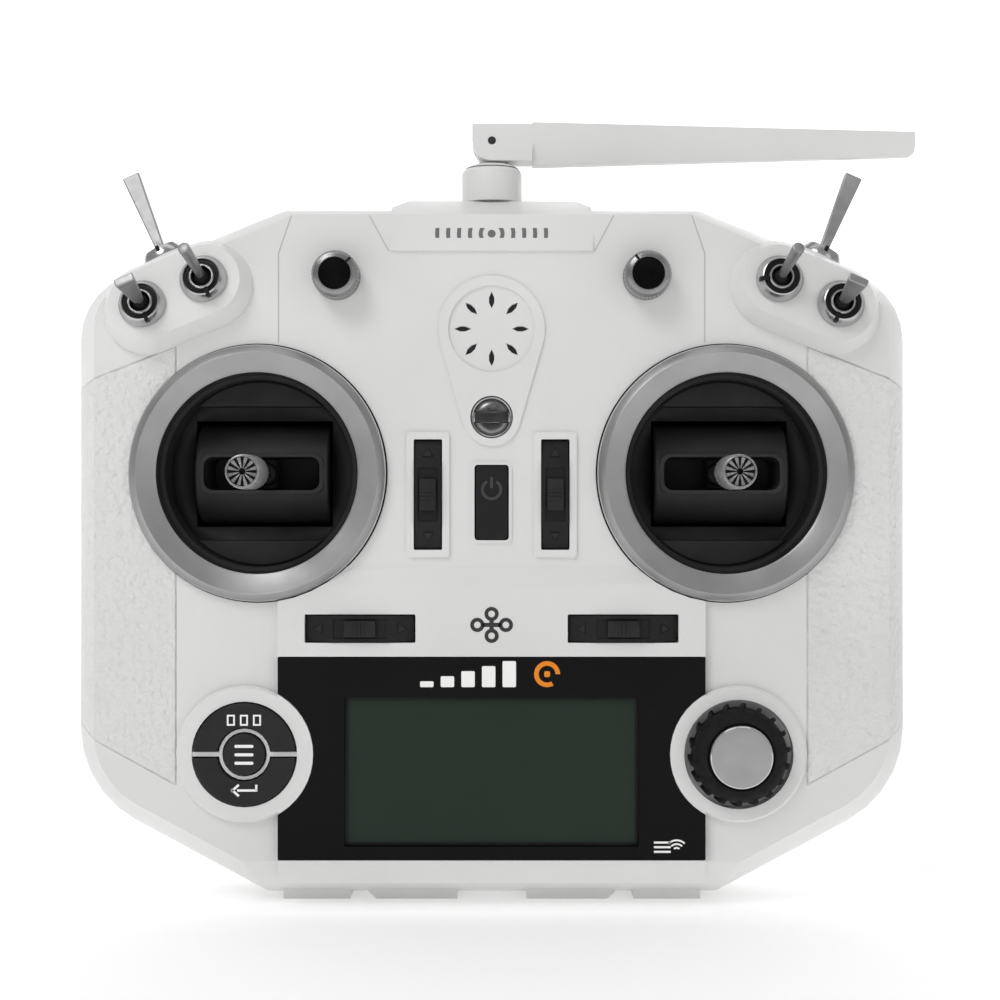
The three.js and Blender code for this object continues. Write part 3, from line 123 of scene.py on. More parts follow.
def soft_box(name, place, aim, width, height, power):
    data = bpy.data.lights.new(name, "AREA")
    data.shape = "RECTANGLE"
    data.size, data.size_y = width, height
    data.energy = power
    lamp = bpy.data.objects.new(name, data)
    lamp.location = place
    lamp.rotation_euler = (Vector(aim) - Vector(place)).to_track_quat("-Z", "Y").to_euler()
    bpy.context.scene.collection.objects.link(lamp)

MIDDLE = (CASE_X, 0, 0.09)
soft_box("key_light", (-0.45, -0.7, 0.85), MIDDLE, 0.45, 0.45, 3.5)
soft_box("fill_light", (0.8, -0.8, 0.4), MIDDLE, 0.5, 0.5, 0.5)
soft_box("top_light", (0.0, -0.15, 0.9), MIDDLE, 0.9, 0.3, 0.6)
soft_box("rear_light", (0.3, 0.9, 0.6), MIDDLE, 0.6, 0.6, 0.9)

# %% [markdown]
# The floor is a pale sweep that carries on far behind the case, so no horizon line shows.

# %% Floor
def deselect():
    bpy.ops.object.select_all(action="DESELECT")

def pick(piece):
    deselect()
    piece.select_set(True)
    bpy.context.view_layer.objects.active = piece

SWEEP_DEPTH = 1.6
deselect()
bpy.ops.mesh.primitive_plane_add(size=8, location=(0, SWEEP_DEPTH - 4, 0))
floor = bpy.context.object
floor.name = "floor"
bpy.ops.object.mode_set(mode="EDIT")
bpy.ops.mesh.select_all(action="DESELECT")
sheet = bmesh.from_edit_mesh(floor.data)
sheet.select_mode = {"EDGE"}
for edge in sheet.edges:
    ends = [floor.matrix_world @ vertex.co for vertex in edge.verts]
    edge.select_set(all(end.y > SWEEP_DEPTH - 0.01 for end in ends))
sheet.select_flush_mode()
bmesh.update_edit_mesh(floor.data)
for step in range(9):
    tilt = math.radians(10 * step + 5)
    reach = 0.12
    bpy.ops.mesh.extrude_region_move(TRANSFORM_OT_translate={
        "value": (0, reach * math.cos(tilt), reach * math.sin(tilt))})
bpy.ops.mesh.extrude_region_move(TRANSFORM_OT_translate={"value": (0, 0, 3)})
bpy.ops.object.mode_set(mode="OBJECT")
bpy.ops.object.shade_smooth()

# %% [markdown]
# Colours are given as they look on a screen, and one function turns them into the linear
# values that the shader works with. One other function adds a node, sets its values and links
# its inputs. Every material below is built from these two.

# %% Colour and node helpers
def linear(hex_colour):
    channels = [int(hex_colour[i:i + 2], 16) / 255 for i in (1, 3, 5)]
    return tuple(c / 12.92 if c <= 0.04045 else ((c + 0.055) / 1.055) ** 2.4
                 for c in channels) + (1.0,)

def add(tree, kind, inputs=None, **settings):
    made = tree.nodes.new("ShaderNode" + kind)
    for name, value in settings.items():
        setattr(made, name, value)
    for name, value in (inputs or {}).items():
        if isinstance(value, bpy.types.NodeSocket):
            tree.links.new(value, made.inputs[name])
        else:
            made.inputs[name].default_value = value
    return made

def new_material(name, roughness, metallic=0.0, ior=None, specular=0.5):
    material = bpy.data.materials.new(name)
    material.use_nodes = True
    tree = material.node_tree
    shader = tree.nodes["Principled BSDF"]
    shader.inputs["Roughness"].default_value = roughness
    shader.inputs["Metallic"].default_value = metallic
    shader.inputs["Specular IOR Level"].default_value = specular
    if ior:
        shader.inputs["IOR"].default_value = ior
    place = add(tree, "TexCoord").outputs["Object"]
    return material, tree, shader, place

def per_mm(pattern_mm):
    return 1 / (pattern_mm * MM)

def tint(tree, shader, place, dark, light, patch_mm):
    """Lets the colour drift between two close tones, as pigment in a moulding does."""
    drift = add(tree, "TexNoise", {"Vector": place, "Scale": per_mm(patch_mm), "Detail": 3.0})
    ramp = add(tree, "ValToRGB", {"Fac": drift.outputs["Fac"]})
    ramp.color_ramp.elements[0].position = 0.3
    ramp.color_ramp.elements[1].position = 0.7
    ramp.color_ramp.elements[0].color = linear(dark)
    ramp.color_ramp.elements[1].color = linear(light)
    tree.links.new(ramp.outputs["Color"], shader.inputs["Base Color"])
    return ramp

def vary_roughness(tree, shader, place, low, high, patch_mm):
    """Handling and mould wear leave a surface duller in some patches than in others."""
    wear = add(tree, "TexNoise", {"Vector": place, "Scale": per_mm(patch_mm), "Detail": 4.0})
    spread = add(tree, "MapRange", {"Value": wear.outputs["Fac"], "From Min": 0.3,
                                    "From Max": 0.7, "To Min": low, "To Max": high})
    tree.links.new(spread.outputs["Result"], shader.inputs["Roughness"])

def grain(tree, shader, height, depth_mm, strength=1.0):
    bump = add(tree, "Bump", {"Height": height, "Distance": depth_mm * MM,
                              "Strength": strength})
    tree.links.new(bump.outputs["Normal"], shader.inputs["Normal"])
    return bump

# %% [markdown]
# ## White moulded ABS
# The case is injection-moulded ABS. Its tool was spark-eroded, which leaves a grain of about a
# tenth of a millimetre: here 0.45 mm, as coarse as it needs to be to show. The palm areas have a
# leather pattern of cells about 1.7 mm across, cut into the same tool, so it is one material
# with a mask that follows the palm panels.

# %% White ABS
ABS_DARK, ABS_LIGHT = "#dededd", "#e6e6e5"
SPARK_GRAIN_MM = 0.45

def moulded_abs(name):
    material, tree, shader, place = new_material(name, roughness=0.42, ior=1.53)
    tint(tree, shader, place, ABS_DARK, ABS_LIGHT, patch_mm=45)
    vary_roughness(tree, shader, place, 0.38, 0.5, patch_mm=12)
    spark = add(tree, "TexNoise", {"Vector": place, "Scale": per_mm(SPARK_GRAIN_MM),
                                   "Detail": 2.0})
    bump = grain(tree, shader, spark.outputs["Fac"], depth_mm=0.02, strength=0.35)
    return material, tree, shader, place, bump

WHITE_ABS = moulded_abs("white_moulded_abs")[0]

# %% [markdown]
# The palm panels are bounded on the inside by an upright line and above and below by sloping
# lines. The mask is one where the leather pattern is and falls to nothing over half a
# millimetre at those lines.

# %% White ABS with leather-grained palms
PALM_INNER = 75.2                     # mm from the middle of the case
PALM_TOP_AT_SIDE, PALM_TOP_RISE = 127.3, 0.39
PALM_LOW_AT_SIDE, PALM_LOW_RISE = 40.4, -0.55
PALM_SIDE = 94.9
LEATHER_CELL_MM = 1.9

def palm_mask(tree, place):
    axes = add(tree, "SeparateXYZ", {"Vector": place}).outputs
    def maths(operation, a, b=0.0):
        return add(tree, "Math", {0: a, 1: b}, operation=operation).outputs[0]
    def beyond(value):
        """0 up to the line, 1 from half a millimetre past it; value is in metres."""
        ramp = add(tree, "MapRange", {"Value": value, "From Min": 0.0, "From Max": 0.5 * MM})
        return ramp.outputs["Result"]
    out = maths("ABSOLUTE", maths("SUBTRACT", axes["X"], CASE_X))
    inwards = maths("SUBTRACT", PALM_SIDE * MM, out)
    top = maths("ADD", maths("MULTIPLY", inwards, PALM_TOP_RISE), PALM_TOP_AT_SIDE * MM)
    low = maths("ADD", maths("MULTIPLY", inwards, PALM_LOW_RISE), PALM_LOW_AT_SIDE * MM)
    across = beyond(maths("SUBTRACT", out, PALM_INNER * MM))
    under = beyond(maths("SUBTRACT", top, axes["Z"]))
    over = beyond(maths("SUBTRACT", axes["Z"], low))
    return maths("MULTIPLY", maths("MULTIPLY", across, under), over)

def leather(tree, place):
    warp = add(tree, "TexNoise", {"Vector": place, "Scale": per_mm(4.0), "Detail": 2.0})
    bend = add(tree, "VectorMath", {0: warp.outputs["Color"], 1: (1.2 * MM,) * 3},
               operation="MULTIPLY")
    bent = add(tree, "VectorMath", {0: place, 1: bend.outputs[0]}, operation="ADD")
    cells = add(tree, "TexVoronoi", {"Vector": bent.outputs[0],
                                     "Scale": per_mm(LEATHER_CELL_MM), "Smoothness": 0.6},
                feature="SMOOTH_F1")
    folds = add(tree, "TexNoise", {"Vector": bent.outputs[0], "Scale": per_mm(1.1),
                                   "Detail": 3.0})
    return add(tree, "Math", {0: cells.outputs["Distance"], 1: folds.outputs["Fac"]},
               operation="ADD").outputs[0]

def palmed_abs(name):
    material, tree, shader, place, bump = moulded_abs(name)
    relief = add(tree, "Math", {0: leather(tree, place), 1: palm_mask(tree, place)},
                 operation="MULTIPLY")
    hide = add(tree, "Bump", {"Height": relief.outputs[0], "Distance": 0.6 * MM,
                              "Strength": 0.9, "Normal": bump.outputs["Normal"]})
    tree.links.new(hide.outputs["Normal"], shader.inputs["Normal"])
    return material

PALMED_ABS = palmed_abs("white_abs_leather_palms")

# %% [markdown]
# ## Black plastics and rubber
# The gimbals, keys and trims are black ABS with a satin grain, the screen's frame is acrylic
# printed black behind, which is why it reflects like glass, and the encoder's tyre is rubber.

# %% Black ABS, acrylic and rubber
def black_abs(name, dark, light, roughness):
    material, tree, shader, place = new_material(name, roughness, ior=1.53, specular=0.25)
    tint(tree, shader, place, dark, light, patch_mm=9)
    vary_roughness(tree, shader, place, roughness - 0.06, roughness + 0.08, patch_mm=5)
    spark = add(tree, "TexNoise", {"Vector": place, "Scale": per_mm(0.35), "Detail": 2.0})
    grain(tree, shader, spark.outputs["Fac"], depth_mm=0.03, strength=0.4)
    return material

GIMBAL_ABS = black_abs("black_moulded_abs", "#1c1c1d", "#242425", 0.6)
DRUM_ABS = black_abs("black_drum_abs", "#2a2a2b", "#323233", 0.55)
KEY_ABS = black_abs("charcoal_key_abs", "#1d1d1e", "#242425", 0.42)
TRIM_ABS = black_abs("black_trim_abs", "#121213", "#18181a", 0.45)

def printed_acrylic():
    material, tree, shader, place = new_material("acrylic_printed_black", 0.12, ior=1.49,
                                                 specular=0.1)
    tint(tree, shader, place, "#0a0a0a", "#0d0d0d", patch_mm=30)
    vary_roughness(tree, shader, place, 0.1, 0.17, patch_mm=18)
    return material

def moulded_rubber():
    material, tree, shader, place = new_material("moulded_rubber", 0.7, ior=1.52,
                                                 specular=0.25)
    tint(tree, shader, place, "#0b0b0b", "#121213", patch_mm=3)
    vary_roughness(tree, shader, place, 0.6, 0.8, patch_mm=2)
    pores = add(tree, "TexNoise", {"Vector": place, "Scale": per_mm(0.3), "Detail": 3.0})
    grain(tree, shader, pores.outputs["Fac"], depth_mm=0.05, strength=0.5)
    return material

ACRYLIC = printed_acrylic()
RUBBER = moulded_rubber()

# %% [markdown]
# ## Screen glass
# A dot-matrix screen that is off is a dark green-grey, and its dots are just visible as a grid
# with a pitch of about half a millimetre.

# %% Screen glass
DOT_PITCH_MM = 0.55

def screen_glass():
    material, tree, shader, place = new_material("dot_matrix_glass", 0.28, ior=1.5,
                                                 specular=0.15)
    ramp = tint(tree, shader, place, "#222f26", "#26342a", patch_mm=40)
    axes = add(tree, "SeparateXYZ", {"Vector": place}).outputs
    lines = []
    for axis in "XZ":
        turns = add(tree, "Math", {0: axes[axis], 1: 2 * math.pi * per_mm(DOT_PITCH_MM)},
                    operation="MULTIPLY")
        wave = add(tree, "Math", {0: turns.outputs[0]}, operation="COSINE")
        lines.append(add(tree, "MapRange", {"Value": wave.outputs[0], "From Min": 0.7,
                                            "From Max": 1.0}).outputs["Result"])
    either = add(tree, "Math", {0: lines[0], 1: lines[1]}, operation="MAXIMUM")
    mixed = add(tree, "MixRGB", {"Fac": either.outputs[0], "Color1": ramp.outputs["Color"],
                                 "Color2": linear("#233027")})
    tree.links.new(mixed.outputs["Color"], shader.inputs["Base Color"])
    return material

SCREEN_GLASS = screen_glass()

# %% [markdown]
# ## Metals
# The gimbal rings are bead-blasted and anodised, so they scatter light over a fine even grain.
# Turned metal has rings left by the tool: pieces that are turned on the bench carry the distance
# from their own axis as an attribute, and the rings are drawn from that. Switches are plated,
# and screws are plain zinc-coated steel. All metals keep the shader's own index.

# %% Metals
def blasted_aluminium():
    material, tree, shader, place = new_material("anodised_aluminium_blasted", 0.4, 1.0)
    tint(tree, shader, place, "#a0a0a0", "#aaaaaa", patch_mm=14)
    vary_roughness(tree, shader, place, 0.36, 0.46, patch_mm=6)
    beads = add(tree, "TexNoise", {"Vector": place, "Scale": per_mm(0.28), "Detail": 2.0})
    grain(tree, shader, beads.outputs["Fac"], depth_mm=0.05, strength=0.55)
    return material

def turned_metal(name, dark, light, roughness, pitch_mm, depth_mm):
    material, tree, shader, place = new_material(name, roughness, 1.0)
    tint(tree, shader, place, dark, light, patch_mm=5)
    radius = add(tree, "Attribute", attribute_name="turn_radius").outputs["Fac"]
    turns = add(tree, "Math", {0: radius, 1: 2 * math.pi / pitch_mm}, operation="MULTIPLY")
    wave = add(tree, "Math", {0: turns.outputs[0]}, operation="SINE")
    grain(tree, shader, wave.outputs[0], depth_mm, strength=0.6)
    return material

def plated(name, dark, light, low, high):
    material, tree, shader, place = new_material(name, low, 1.0)
    tint(tree, shader, place, dark, light, patch_mm=3)
    vary_roughness(tree, shader, place, low, high, patch_mm=1.5)
    return material

BLASTED = blasted_aluminium()
BRIGHT_EDGE = plated("aluminium_diamond_cut", "#d2d2d2", "#dbdbdb", 0.14, 0.2)
TURNED = turned_metal("aluminium_turned", "#8e8e8e", "#9b9b9b", 0.26, 0.22, 0.012)
TURNED_BLACK = turned_metal("aluminium_turned_black_anodised", "#161616", "#1e1e1e", 0.3, 0.3, 0.01)
CAP_METAL = turned_metal("aluminium_spun_cap", "#a5a5a5", "#acacac", 0.34, 0.3, 0.008)
NICKEL = plated("satin_nickel_plated_brass", "#a0a0a0", "#acacac", 0.4, 0.5)
KNURLED = plated("knurled_bright_aluminium", "#e2e2e2", "#ececec", 0.4, 0.46)
CHROME = plated("chrome_plated_brass", "#b4b4b4", "#c6c6c6", 0.16, 0.26)
# Dark oxide steel for the antenna pin; the same colour paints the dark reflection across the middle
# of the eyelet's bar.
DARK_STEEL_AND_PAINTED_REFLECTION = plated("dark_oxide_steel_and_painted_reflection", "#3c3c3c", "#4a4a4a", 0.35, 0.5)
ZINC = plated("zinc_coated_steel", "#888888", "#9d9d9d", 0.3, 0.42)

# %% [markdown]
# ## Inside pieces, ink and cloth
# The board, the battery and the speaker are hardly seen, but they show through gaps and when
# the battery door is open, so they get their real finishes too.

# %% Board, battery wrap, ink and cloth
def solder_mask():
    material, tree, shader, place = new_material("green_solder_mask", 0.35, ior=1.5)
    lanes = add(tree, "TexBrick", {"Vector": place, "Scale": per_mm(9.0),
                                   "Color1": linear("#15502e"), "Color2": linear("#124628"),
                                   "Mortar": linear("#2f7a4a"), "Mortar Size": 0.03})
    tree.links.new(lanes.outputs["Color"], shader.inputs["Base Color"])
    return material

def shrink_wrap():
    material, tree, shader, place = new_material("pvc_shrink_wrap", 0.25, ior=1.52)
    tint(tree, shader, place, "#2d4f86", "#35609c", patch_mm=20)
    creases = add(tree, "TexNoise", {"Vector": place, "Scale": per_mm(6.0), "Detail": 4.0})
    grain(tree, shader, creases.outputs["Fac"], depth_mm=0.15, strength=0.5)
    return material

def printed_ink(name, colour):
    material, tree, shader, place = new_material(name, 0.5, ior=1.5)
    tint(tree, shader, place, colour, colour, patch_mm=2)
    vary_roughness(tree, shader, place, 0.42, 0.58, patch_mm=0.6)
    return material

def dust_cloth():
    material, tree, shader, place = new_material("woven_dust_cloth", 0.85, ior=1.5)
    weave = add(tree, "TexChecker", {"Vector": place, "Scale": per_mm(0.4),
                                     "Color1": linear("#4c4c4c"), "Color2": linear("#666666")})
    tree.links.new(weave.outputs["Color"], shader.inputs["Base Color"])
    grain(tree, shader, weave.outputs["Fac"], depth_mm=0.05)
    return material

MASK = solder_mask()
WRAP = shrink_wrap()
WHITE_INK = printed_ink("white_printed_ink", "#fafaf8")
GREY_INK = printed_ink("grey_printed_ink", "#6c6c6c")
# Painted shade: the grey of the thin strips that stand for the shade in the steps between the
# face's facets.
SEAM_SHADE = printed_ink("seam_shadow_grey", "#bfbfbe")
ORANGE_INK = printed_ink("orange_printed_ink", "#ee8a00")
CHARCOAL_INK = printed_ink("charcoal_printed_ink", "#2b2b2b")
DUST_CLOTH = dust_cloth()

def pale_floor():
    material, tree, shader, place = new_material("painted_floor", 0.9)
    tint(tree, shader, place, "#f4f4f4", "#f7f7f7", patch_mm=600)
    behind = add(tree, "SeparateXYZ", {"Vector": place}).outputs["Y"]
    glow = add(tree, "MapRange", {"Value": behind, "From Min": 2.7, "From Max": 3.8,
                                  "To Min": 0.3, "To Max": 0.8})
    shader.inputs["Emission Color"].default_value = (1, 1, 1, 1)
    tree.links.new(glow.outputs["Result"], shader.inputs["Emission Strength"])
    return material

floor.data.materials.append(pale_floor())

# %% [markdown]
# ## The bench
# Every new piece is drawn at the origin in millimetres, with Z pointing out of the case, X to
# the right and Y up. `standing` gives the place on the case that the piece is carried to, and
# `fit` carries it there, ties it to the body it moves with and says which node it stands for.

def standing(origin, out, up):
    """A place on the case: local Z points out, local Y points up, local X to the right."""
    z = Vector(out).normalized()
    x = Vector(up).cross(z).normalized()
    place = Matrix((x, z.cross(x), z)).transposed().to_4x4()
    place.translation = Vector(origin)
    return place

def on_face(x, z, y=FACE_Y):
    return standing((x, y, z), (0, -1, 0), (0, 0, 1))

def edit_mode():
    bpy.ops.object.mode_set(mode="EDIT")

def object_mode():
    bpy.ops.object.mode_set(mode="OBJECT")

def mark(piece, test, kind="VERT"):
    """In edit mode, selects the vertices, edges or faces whose place in mm passes the test."""
    shape = bmesh.from_edit_mesh(piece.data)
    shape.select_mode = {kind}
    for group in (shape.verts, shape.edges, shape.faces):
        for element in group:
            element.select_set(False)
    if kind == "VERT":
        chosen = [v for v in shape.verts if test(v.co / MM)]
    elif kind == "EDGE":
        chosen = [e for e in shape.edges
                  if test(e.verts[0].co / MM) and test(e.verts[1].co / MM)]
    else:
        chosen = [f for f in shape.faces if test(f.calc_center_median() / MM)]
    for element in chosen:
        element.select_set(True)
    shape.select_flush_mode()
    bmesh.update_edit_mesh(piece.data)
    return len(chosen)

def smooth(piece, angle=32):
    pick(piece)
    bpy.ops.object.shade_smooth_by_angle(angle=math.radians(angle))

def apply_modifier(piece, kind, **settings):
    modifier = piece.modifiers.new(kind.lower(), kind)
    for name, value in settings.items():
        setattr(modifier, name, value)
    pick(piece)
    bpy.ops.object.modifier_apply(modifier=modifier.name)

def round_edges(piece, width_mm, segments=2, angle=35):
    apply_modifier(piece, "BEVEL", width=width_mm * MM, segments=segments,
                   limit_method="ANGLE", angle_limit=math.radians(angle),
                   use_clamp_overlap=True)
    smooth(piece)
    apply_modifier(piece, "WEIGHTED_NORMAL", weight=100, keep_sharp=True)

def cut(piece, cutter):
    apply_modifier(piece, "BOOLEAN", operation="DIFFERENCE", object=cutter, solver="EXACT")
    bpy.data.objects.remove(cutter)

def join(*parts):
    deselect()
    for part in parts:
        part.select_set(True)
    bpy.context.view_layer.objects.active = parts[0]
    bpy.ops.object.join()
    return parts[0]

def paint(piece, material, test=None):
    """The first coat covers everything, and a later one only the faces that pass the test."""
    piece.data.materials.append(material)
    if test:
        last = len(piece.data.materials) - 1
        for face in piece.data.polygons:
            if test(face.center / MM):
                face.material_index = last

def fit(piece, place, body, *stands_for, finish_of=None):
    piece.data.transform(place)
    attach(piece, body)
    if stands_for:
        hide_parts(*stands_for)
    return piece

# %% [markdown]
# Round things are drawn out as on a lathe: a circle is extruded from one ring of the profile
# to the next and resized there. A profile that comes back to its start makes a ring with a
# bore, and one that ends at radius nothing closes to a point in the middle. The distance from
# the axis is kept as an attribute for the tool marks of turned metal.

# %% Turning
def turned(name, profile, sides=64):
    (radius, height), *steps = profile
    bored = profile[0] == profile[-1]
    deselect()
    bpy.ops.mesh.primitive_circle_add(vertices=sides, radius=radius * MM,
                                      location=(0, 0, height * MM),
                                      fill_type="NOTHING" if bored else "NGON")
    piece = bpy.context.object
    piece.name = piece.data.name = name
    bpy.ops.object.transform_apply(location=True)
    edit_mode()
    bpy.ops.mesh.select_all(action="SELECT")
    for next_radius, next_height in steps:
        bpy.ops.mesh.extrude_region_move(TRANSFORM_OT_translate={
            "value": (0, 0, (next_height - height) * MM)})
        grow = next_radius / radius
        bpy.ops.transform.resize(value=(grow, grow, 1), center_override=(0, 0, 0))
        radius, height = next_radius or 1e-9, next_height
    bpy.ops.mesh.select_all(action="SELECT")
    bpy.ops.mesh.remove_doubles(threshold=0.002 * MM)
    bpy.ops.mesh.normals_make_consistent(inside=False)
    object_mode()
    turn = piece.data.attributes.new("turn_radius", "FLOAT", "POINT")
    for vertex in piece.data.vertices:
        turn.data[vertex.index].value = vertex.co.xy.length / MM
    smooth(piece)
    return piece

# %% [markdown]
# Flat things start from a cube that is drawn to size in edit mode, and its upright edges are
# rounded before its rims.

# %% Blocks
def block(name, x, y, z, corner=0.0, rim=0.0, corner_segments=6):
    """A block between the limits x, y and z in mm, with rounded upright edges and rims."""
    deselect()
    bpy.ops.mesh.primitive_cube_add(size=1)
    piece = bpy.context.object
    piece.name = piece.data.name = name
    edit_mode()
    bpy.ops.mesh.select_all(action="SELECT")
    spans = [(high - low) * MM for low, high in (x, y, z)]
    centre = [(high + low) / 2 * MM for low, high in (x, y, z)]
    bpy.ops.transform.resize(value=spans, center_override=(0, 0, 0))
    bpy.ops.transform.translate(value=centre)
    if corner:
        shape = bmesh.from_edit_mesh(piece.data)
        shape.select_mode = {"EDGE"}
        for edge in shape.edges:
            low, high = (vertex.co for vertex in edge.verts)
            edge.select_set(abs(low.z - high.z) > 0.01 * MM)
        shape.select_flush_mode()
        bmesh.update_edit_mesh(piece.data)
        bpy.ops.mesh.bevel(offset=corner * MM, segments=corner_segments, affect="EDGES")
    object_mode()
    if rim:
        round_edges(piece, rim)
    return piece

def turn_about_z(piece, degrees, x=0.0, y=0.0):
    """Turns the mesh about an upright line through (x, y) in mm."""
    centre = Matrix.Translation((x * MM, y * MM, 0))
    piece.data.transform(centre @ Matrix.Rotation(math.radians(degrees), 4, "Z")
                         @ centre.inverted())
    return piece

# %% [markdown]
# Where a node already has the right shape, its copy is merged, its flat faces are joined up
# again and its sharp edges are rounded a few tenths of a millimetre, because an edge that
# catches the light is what makes a moulding look moulded.

# %% Softened copies of nodes
def node_copy(node, flatten=True):
    piece = NODES[node].copy()
    piece.data = NODES[node].data.copy()
    piece.name = piece.data.name = node + "_skin"
    piece.parent = None
    for key in [key for key in piece.keys() if key.startswith("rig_")]:
        del piece[key]
    bpy.context.scene.collection.objects.link(piece)
    piece.data.materials.clear()
    pick(piece)
    edit_mode()
    bpy.ops.mesh.select_all(action="SELECT")
    bpy.ops.mesh.remove_doubles(threshold=0.01 * MM)
    if flatten:
        bpy.ops.mesh.dissolve_limited(angle_limit=math.radians(1))
    object_mode()
    return piece

def softened(node, width_mm, material, segments=2, angle=35):
    piece = node_copy(node)
    round_edges(piece, width_mm, segments, angle)
    paint(piece, material)
    body = NODES[node]["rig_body"]
    return fit(piece, Matrix.Identity(4), body, node)

# %% [markdown]
# ## The two halves of the case
# The case is two mouldings that meet in a plane. Their shapes are the frame's own; what they
# need is the radius that every moulded edge has, about 0.4 mm here.

# %% Housings
front = softened("front_housing", 0.4, PALMED_ABS)
rear = softened("rear_housing", 0.4, PALMED_ABS)
print("front housing:", len(front.data.polygons), "faces; rear:", len(rear.data.polygons))

# %% [markdown]
# ## Gimbal rings
# Each ring is aluminium, turned, bead-blasted, and then cut again at its two edges, so they stay
# bright. Outside the crest the face falls away steeply and inside it dishes in towards the bowl.
# A thin black ring under it is painted shadow: it draws the dark line of the gap between the ring
# and the case.

# %% Gimbal rings
RING_OUTER, RING_INNER, CREST = 30.6, 24.0, 28.7

def gimbal_ring(side):
    ring = turned("gimbal_ring_skin_" + side, [
        (RING_INNER, 0.15), (RING_OUTER, 0.15), (RING_OUTER, 1.7), (RING_OUTER - 0.2, 2.1),
        (CREST + 0.15, 3.42), (CREST, 3.5), (CREST - 0.2, 3.42), (RING_INNER + 0.6, 2.75),
        (RING_INNER, 2.35), (RING_INNER, 0.15)], sides=128)
    paint(ring, BLASTED)
    paint(ring, BRIGHT_EDGE, lambda c: c.xy.length > RING_OUTER - 0.15
          or c.xy.length < RING_INNER + 0.1)
    centre = middle("gimbal_ring_" + side)
    # Painted shadow: this thin black ring draws the dark line of the gap round the gimbal ring.
    painted_gap_shadow = turned("gimbal_painted_gap_shadow_" + side, [
        (RING_OUTER - 0.6, 0.02), (RING_OUTER + 0.35, 0.02), (RING_OUTER + 0.35, 0.16),
        (RING_OUTER + 0.2, 0.22), (RING_OUTER - 0.6, 0.14), (RING_OUTER - 0.6, 0.02)], sides=128)
    paint(painted_gap_shadow, RUBBER)
    fit(painted_gap_shadow, on_face(centre.x, centre.z), "case", finish_of="gimbal_frame_left")
    return fit(ring, on_face(centre.x, centre.z), "case", "gimbal_ring_" + side)

# %% [markdown]
# Behind each ring is a black bowl. Two flat shelves stand above and below the rocking drum,
# and the floor between them opens into a square well where the drum rolls.

# %% Gimbal bowls
SHELF_AT, SHELF_DEPTH, FLOOR_DEPTH = 16.2, -4.6, -12.5
PIVOT_DEPTH = -18.5
DRUM_R, DRUM_HALF = 12.2, 16.2

def gimbal_bowl(side):
    bowl = turned("gimbal_bowl_" + side, [
        (24.9, FLOOR_DEPTH - 1.6), (24.9, -0.3), (23.7, -0.3), (23.5, -0.9), (22.6, -1.5),
        (22.4, -2.0), (22.2, FLOOR_DEPTH + 0.6), (21.6, FLOOR_DEPTH), (0, FLOOR_DEPTH)], sides=96)
    cut(bowl, block("window", (-16.7, 16.7), (-13, 13), (FLOOR_DEPTH - 3, FLOOR_DEPTH + 3)))
    shelves = turned("shelves", [(22.3, FLOOR_DEPTH - 0.5), (22.3, SHELF_DEPTH - 0.3),
                                 (22.0, SHELF_DEPTH)], sides=96)
    cut(shelves, block("between", (-30, 30), (-SHELF_AT, SHELF_AT), (-20, 0)))
    round_edges(shelves, 0.5)
    well_back = PIVOT_DEPTH - DRUM_R - 0.9
    well = block("well", (-17.6, 17.6), (-13.9, 13.9), (well_back, FLOOR_DEPTH - 1.0))
    cut(well, block("inside", (-17.0, 17.0), (-13.2, 13.2), (well_back + 0.4, 0)))
    piece = join(bowl, shelves, well)
    smooth(piece)
    paint(piece, GIMBAL_ABS)
    centre = middle("gimbal_ring_" + side)
    return fit(piece, on_face(centre.x, centre.z), "case", "gimbal_frame_" + side)

# %% [markdown]
# The drum rolls on a level axle. It is a plain turned shape laid on its side, with a pocket for
# the stick to swing in and a raised lip round the pocket's mouth.

# %% Gimbal drums
def gimbal_drum(side):
    drum = turned("gimbal_drum_skin_" + side, [
        (2, -19.5), (2, -DRUM_HALF), (DRUM_R - 0.4, -DRUM_HALF), (DRUM_R, -DRUM_HALF + 0.4),
        (DRUM_R, DRUM_HALF - 0.4), (DRUM_R - 0.4, DRUM_HALF), (2, DRUM_HALF), (2, 19.5)], sides=72)
    drum.data.transform(Matrix.Rotation(math.radians(90), 4, "Y"))
    cut(drum, block("pocket", (-14, 14), (-4, 4), (-6, 20), corner=2.2))
    round_edges(drum, 0.45, segments=3, angle=40)
    lip = block("lip", (-15.1, 15.1), (-4.9, 4.9), (10.6, 12.25), corner=2.6)
    cut(lip, block("mouth", (-14, 14), (-4, 4), (8, 20), corner=2.2))
    round_edges(lip, 0.2)
    piece = join(drum, lip)
    paint(piece, DRUM_ABS)
    centre = middle("gimbal_ring_" + side)
    place = on_face(centre.x, centre.z, FACE_Y - PIVOT_DEPTH * MM)
    return fit(piece, place, side + "_drum", "gimbal_drum_" + side)

# %% [markdown]
# The stick is a threaded rod in a black hub. Its end is an aluminium thumb piece with a
# diamond knurl round it and twelve flutes in its face. The knurl is a grid of rings and sides
# in which every other point is pulled in; the flutes are the same trick on the face.

# %% Sticks
TIP_R, TIP_BACK, TIP_FRONT = 4.0, 28.5, 45.5
KNURL_SIDES, KNURL_PITCH = 48, 0.8

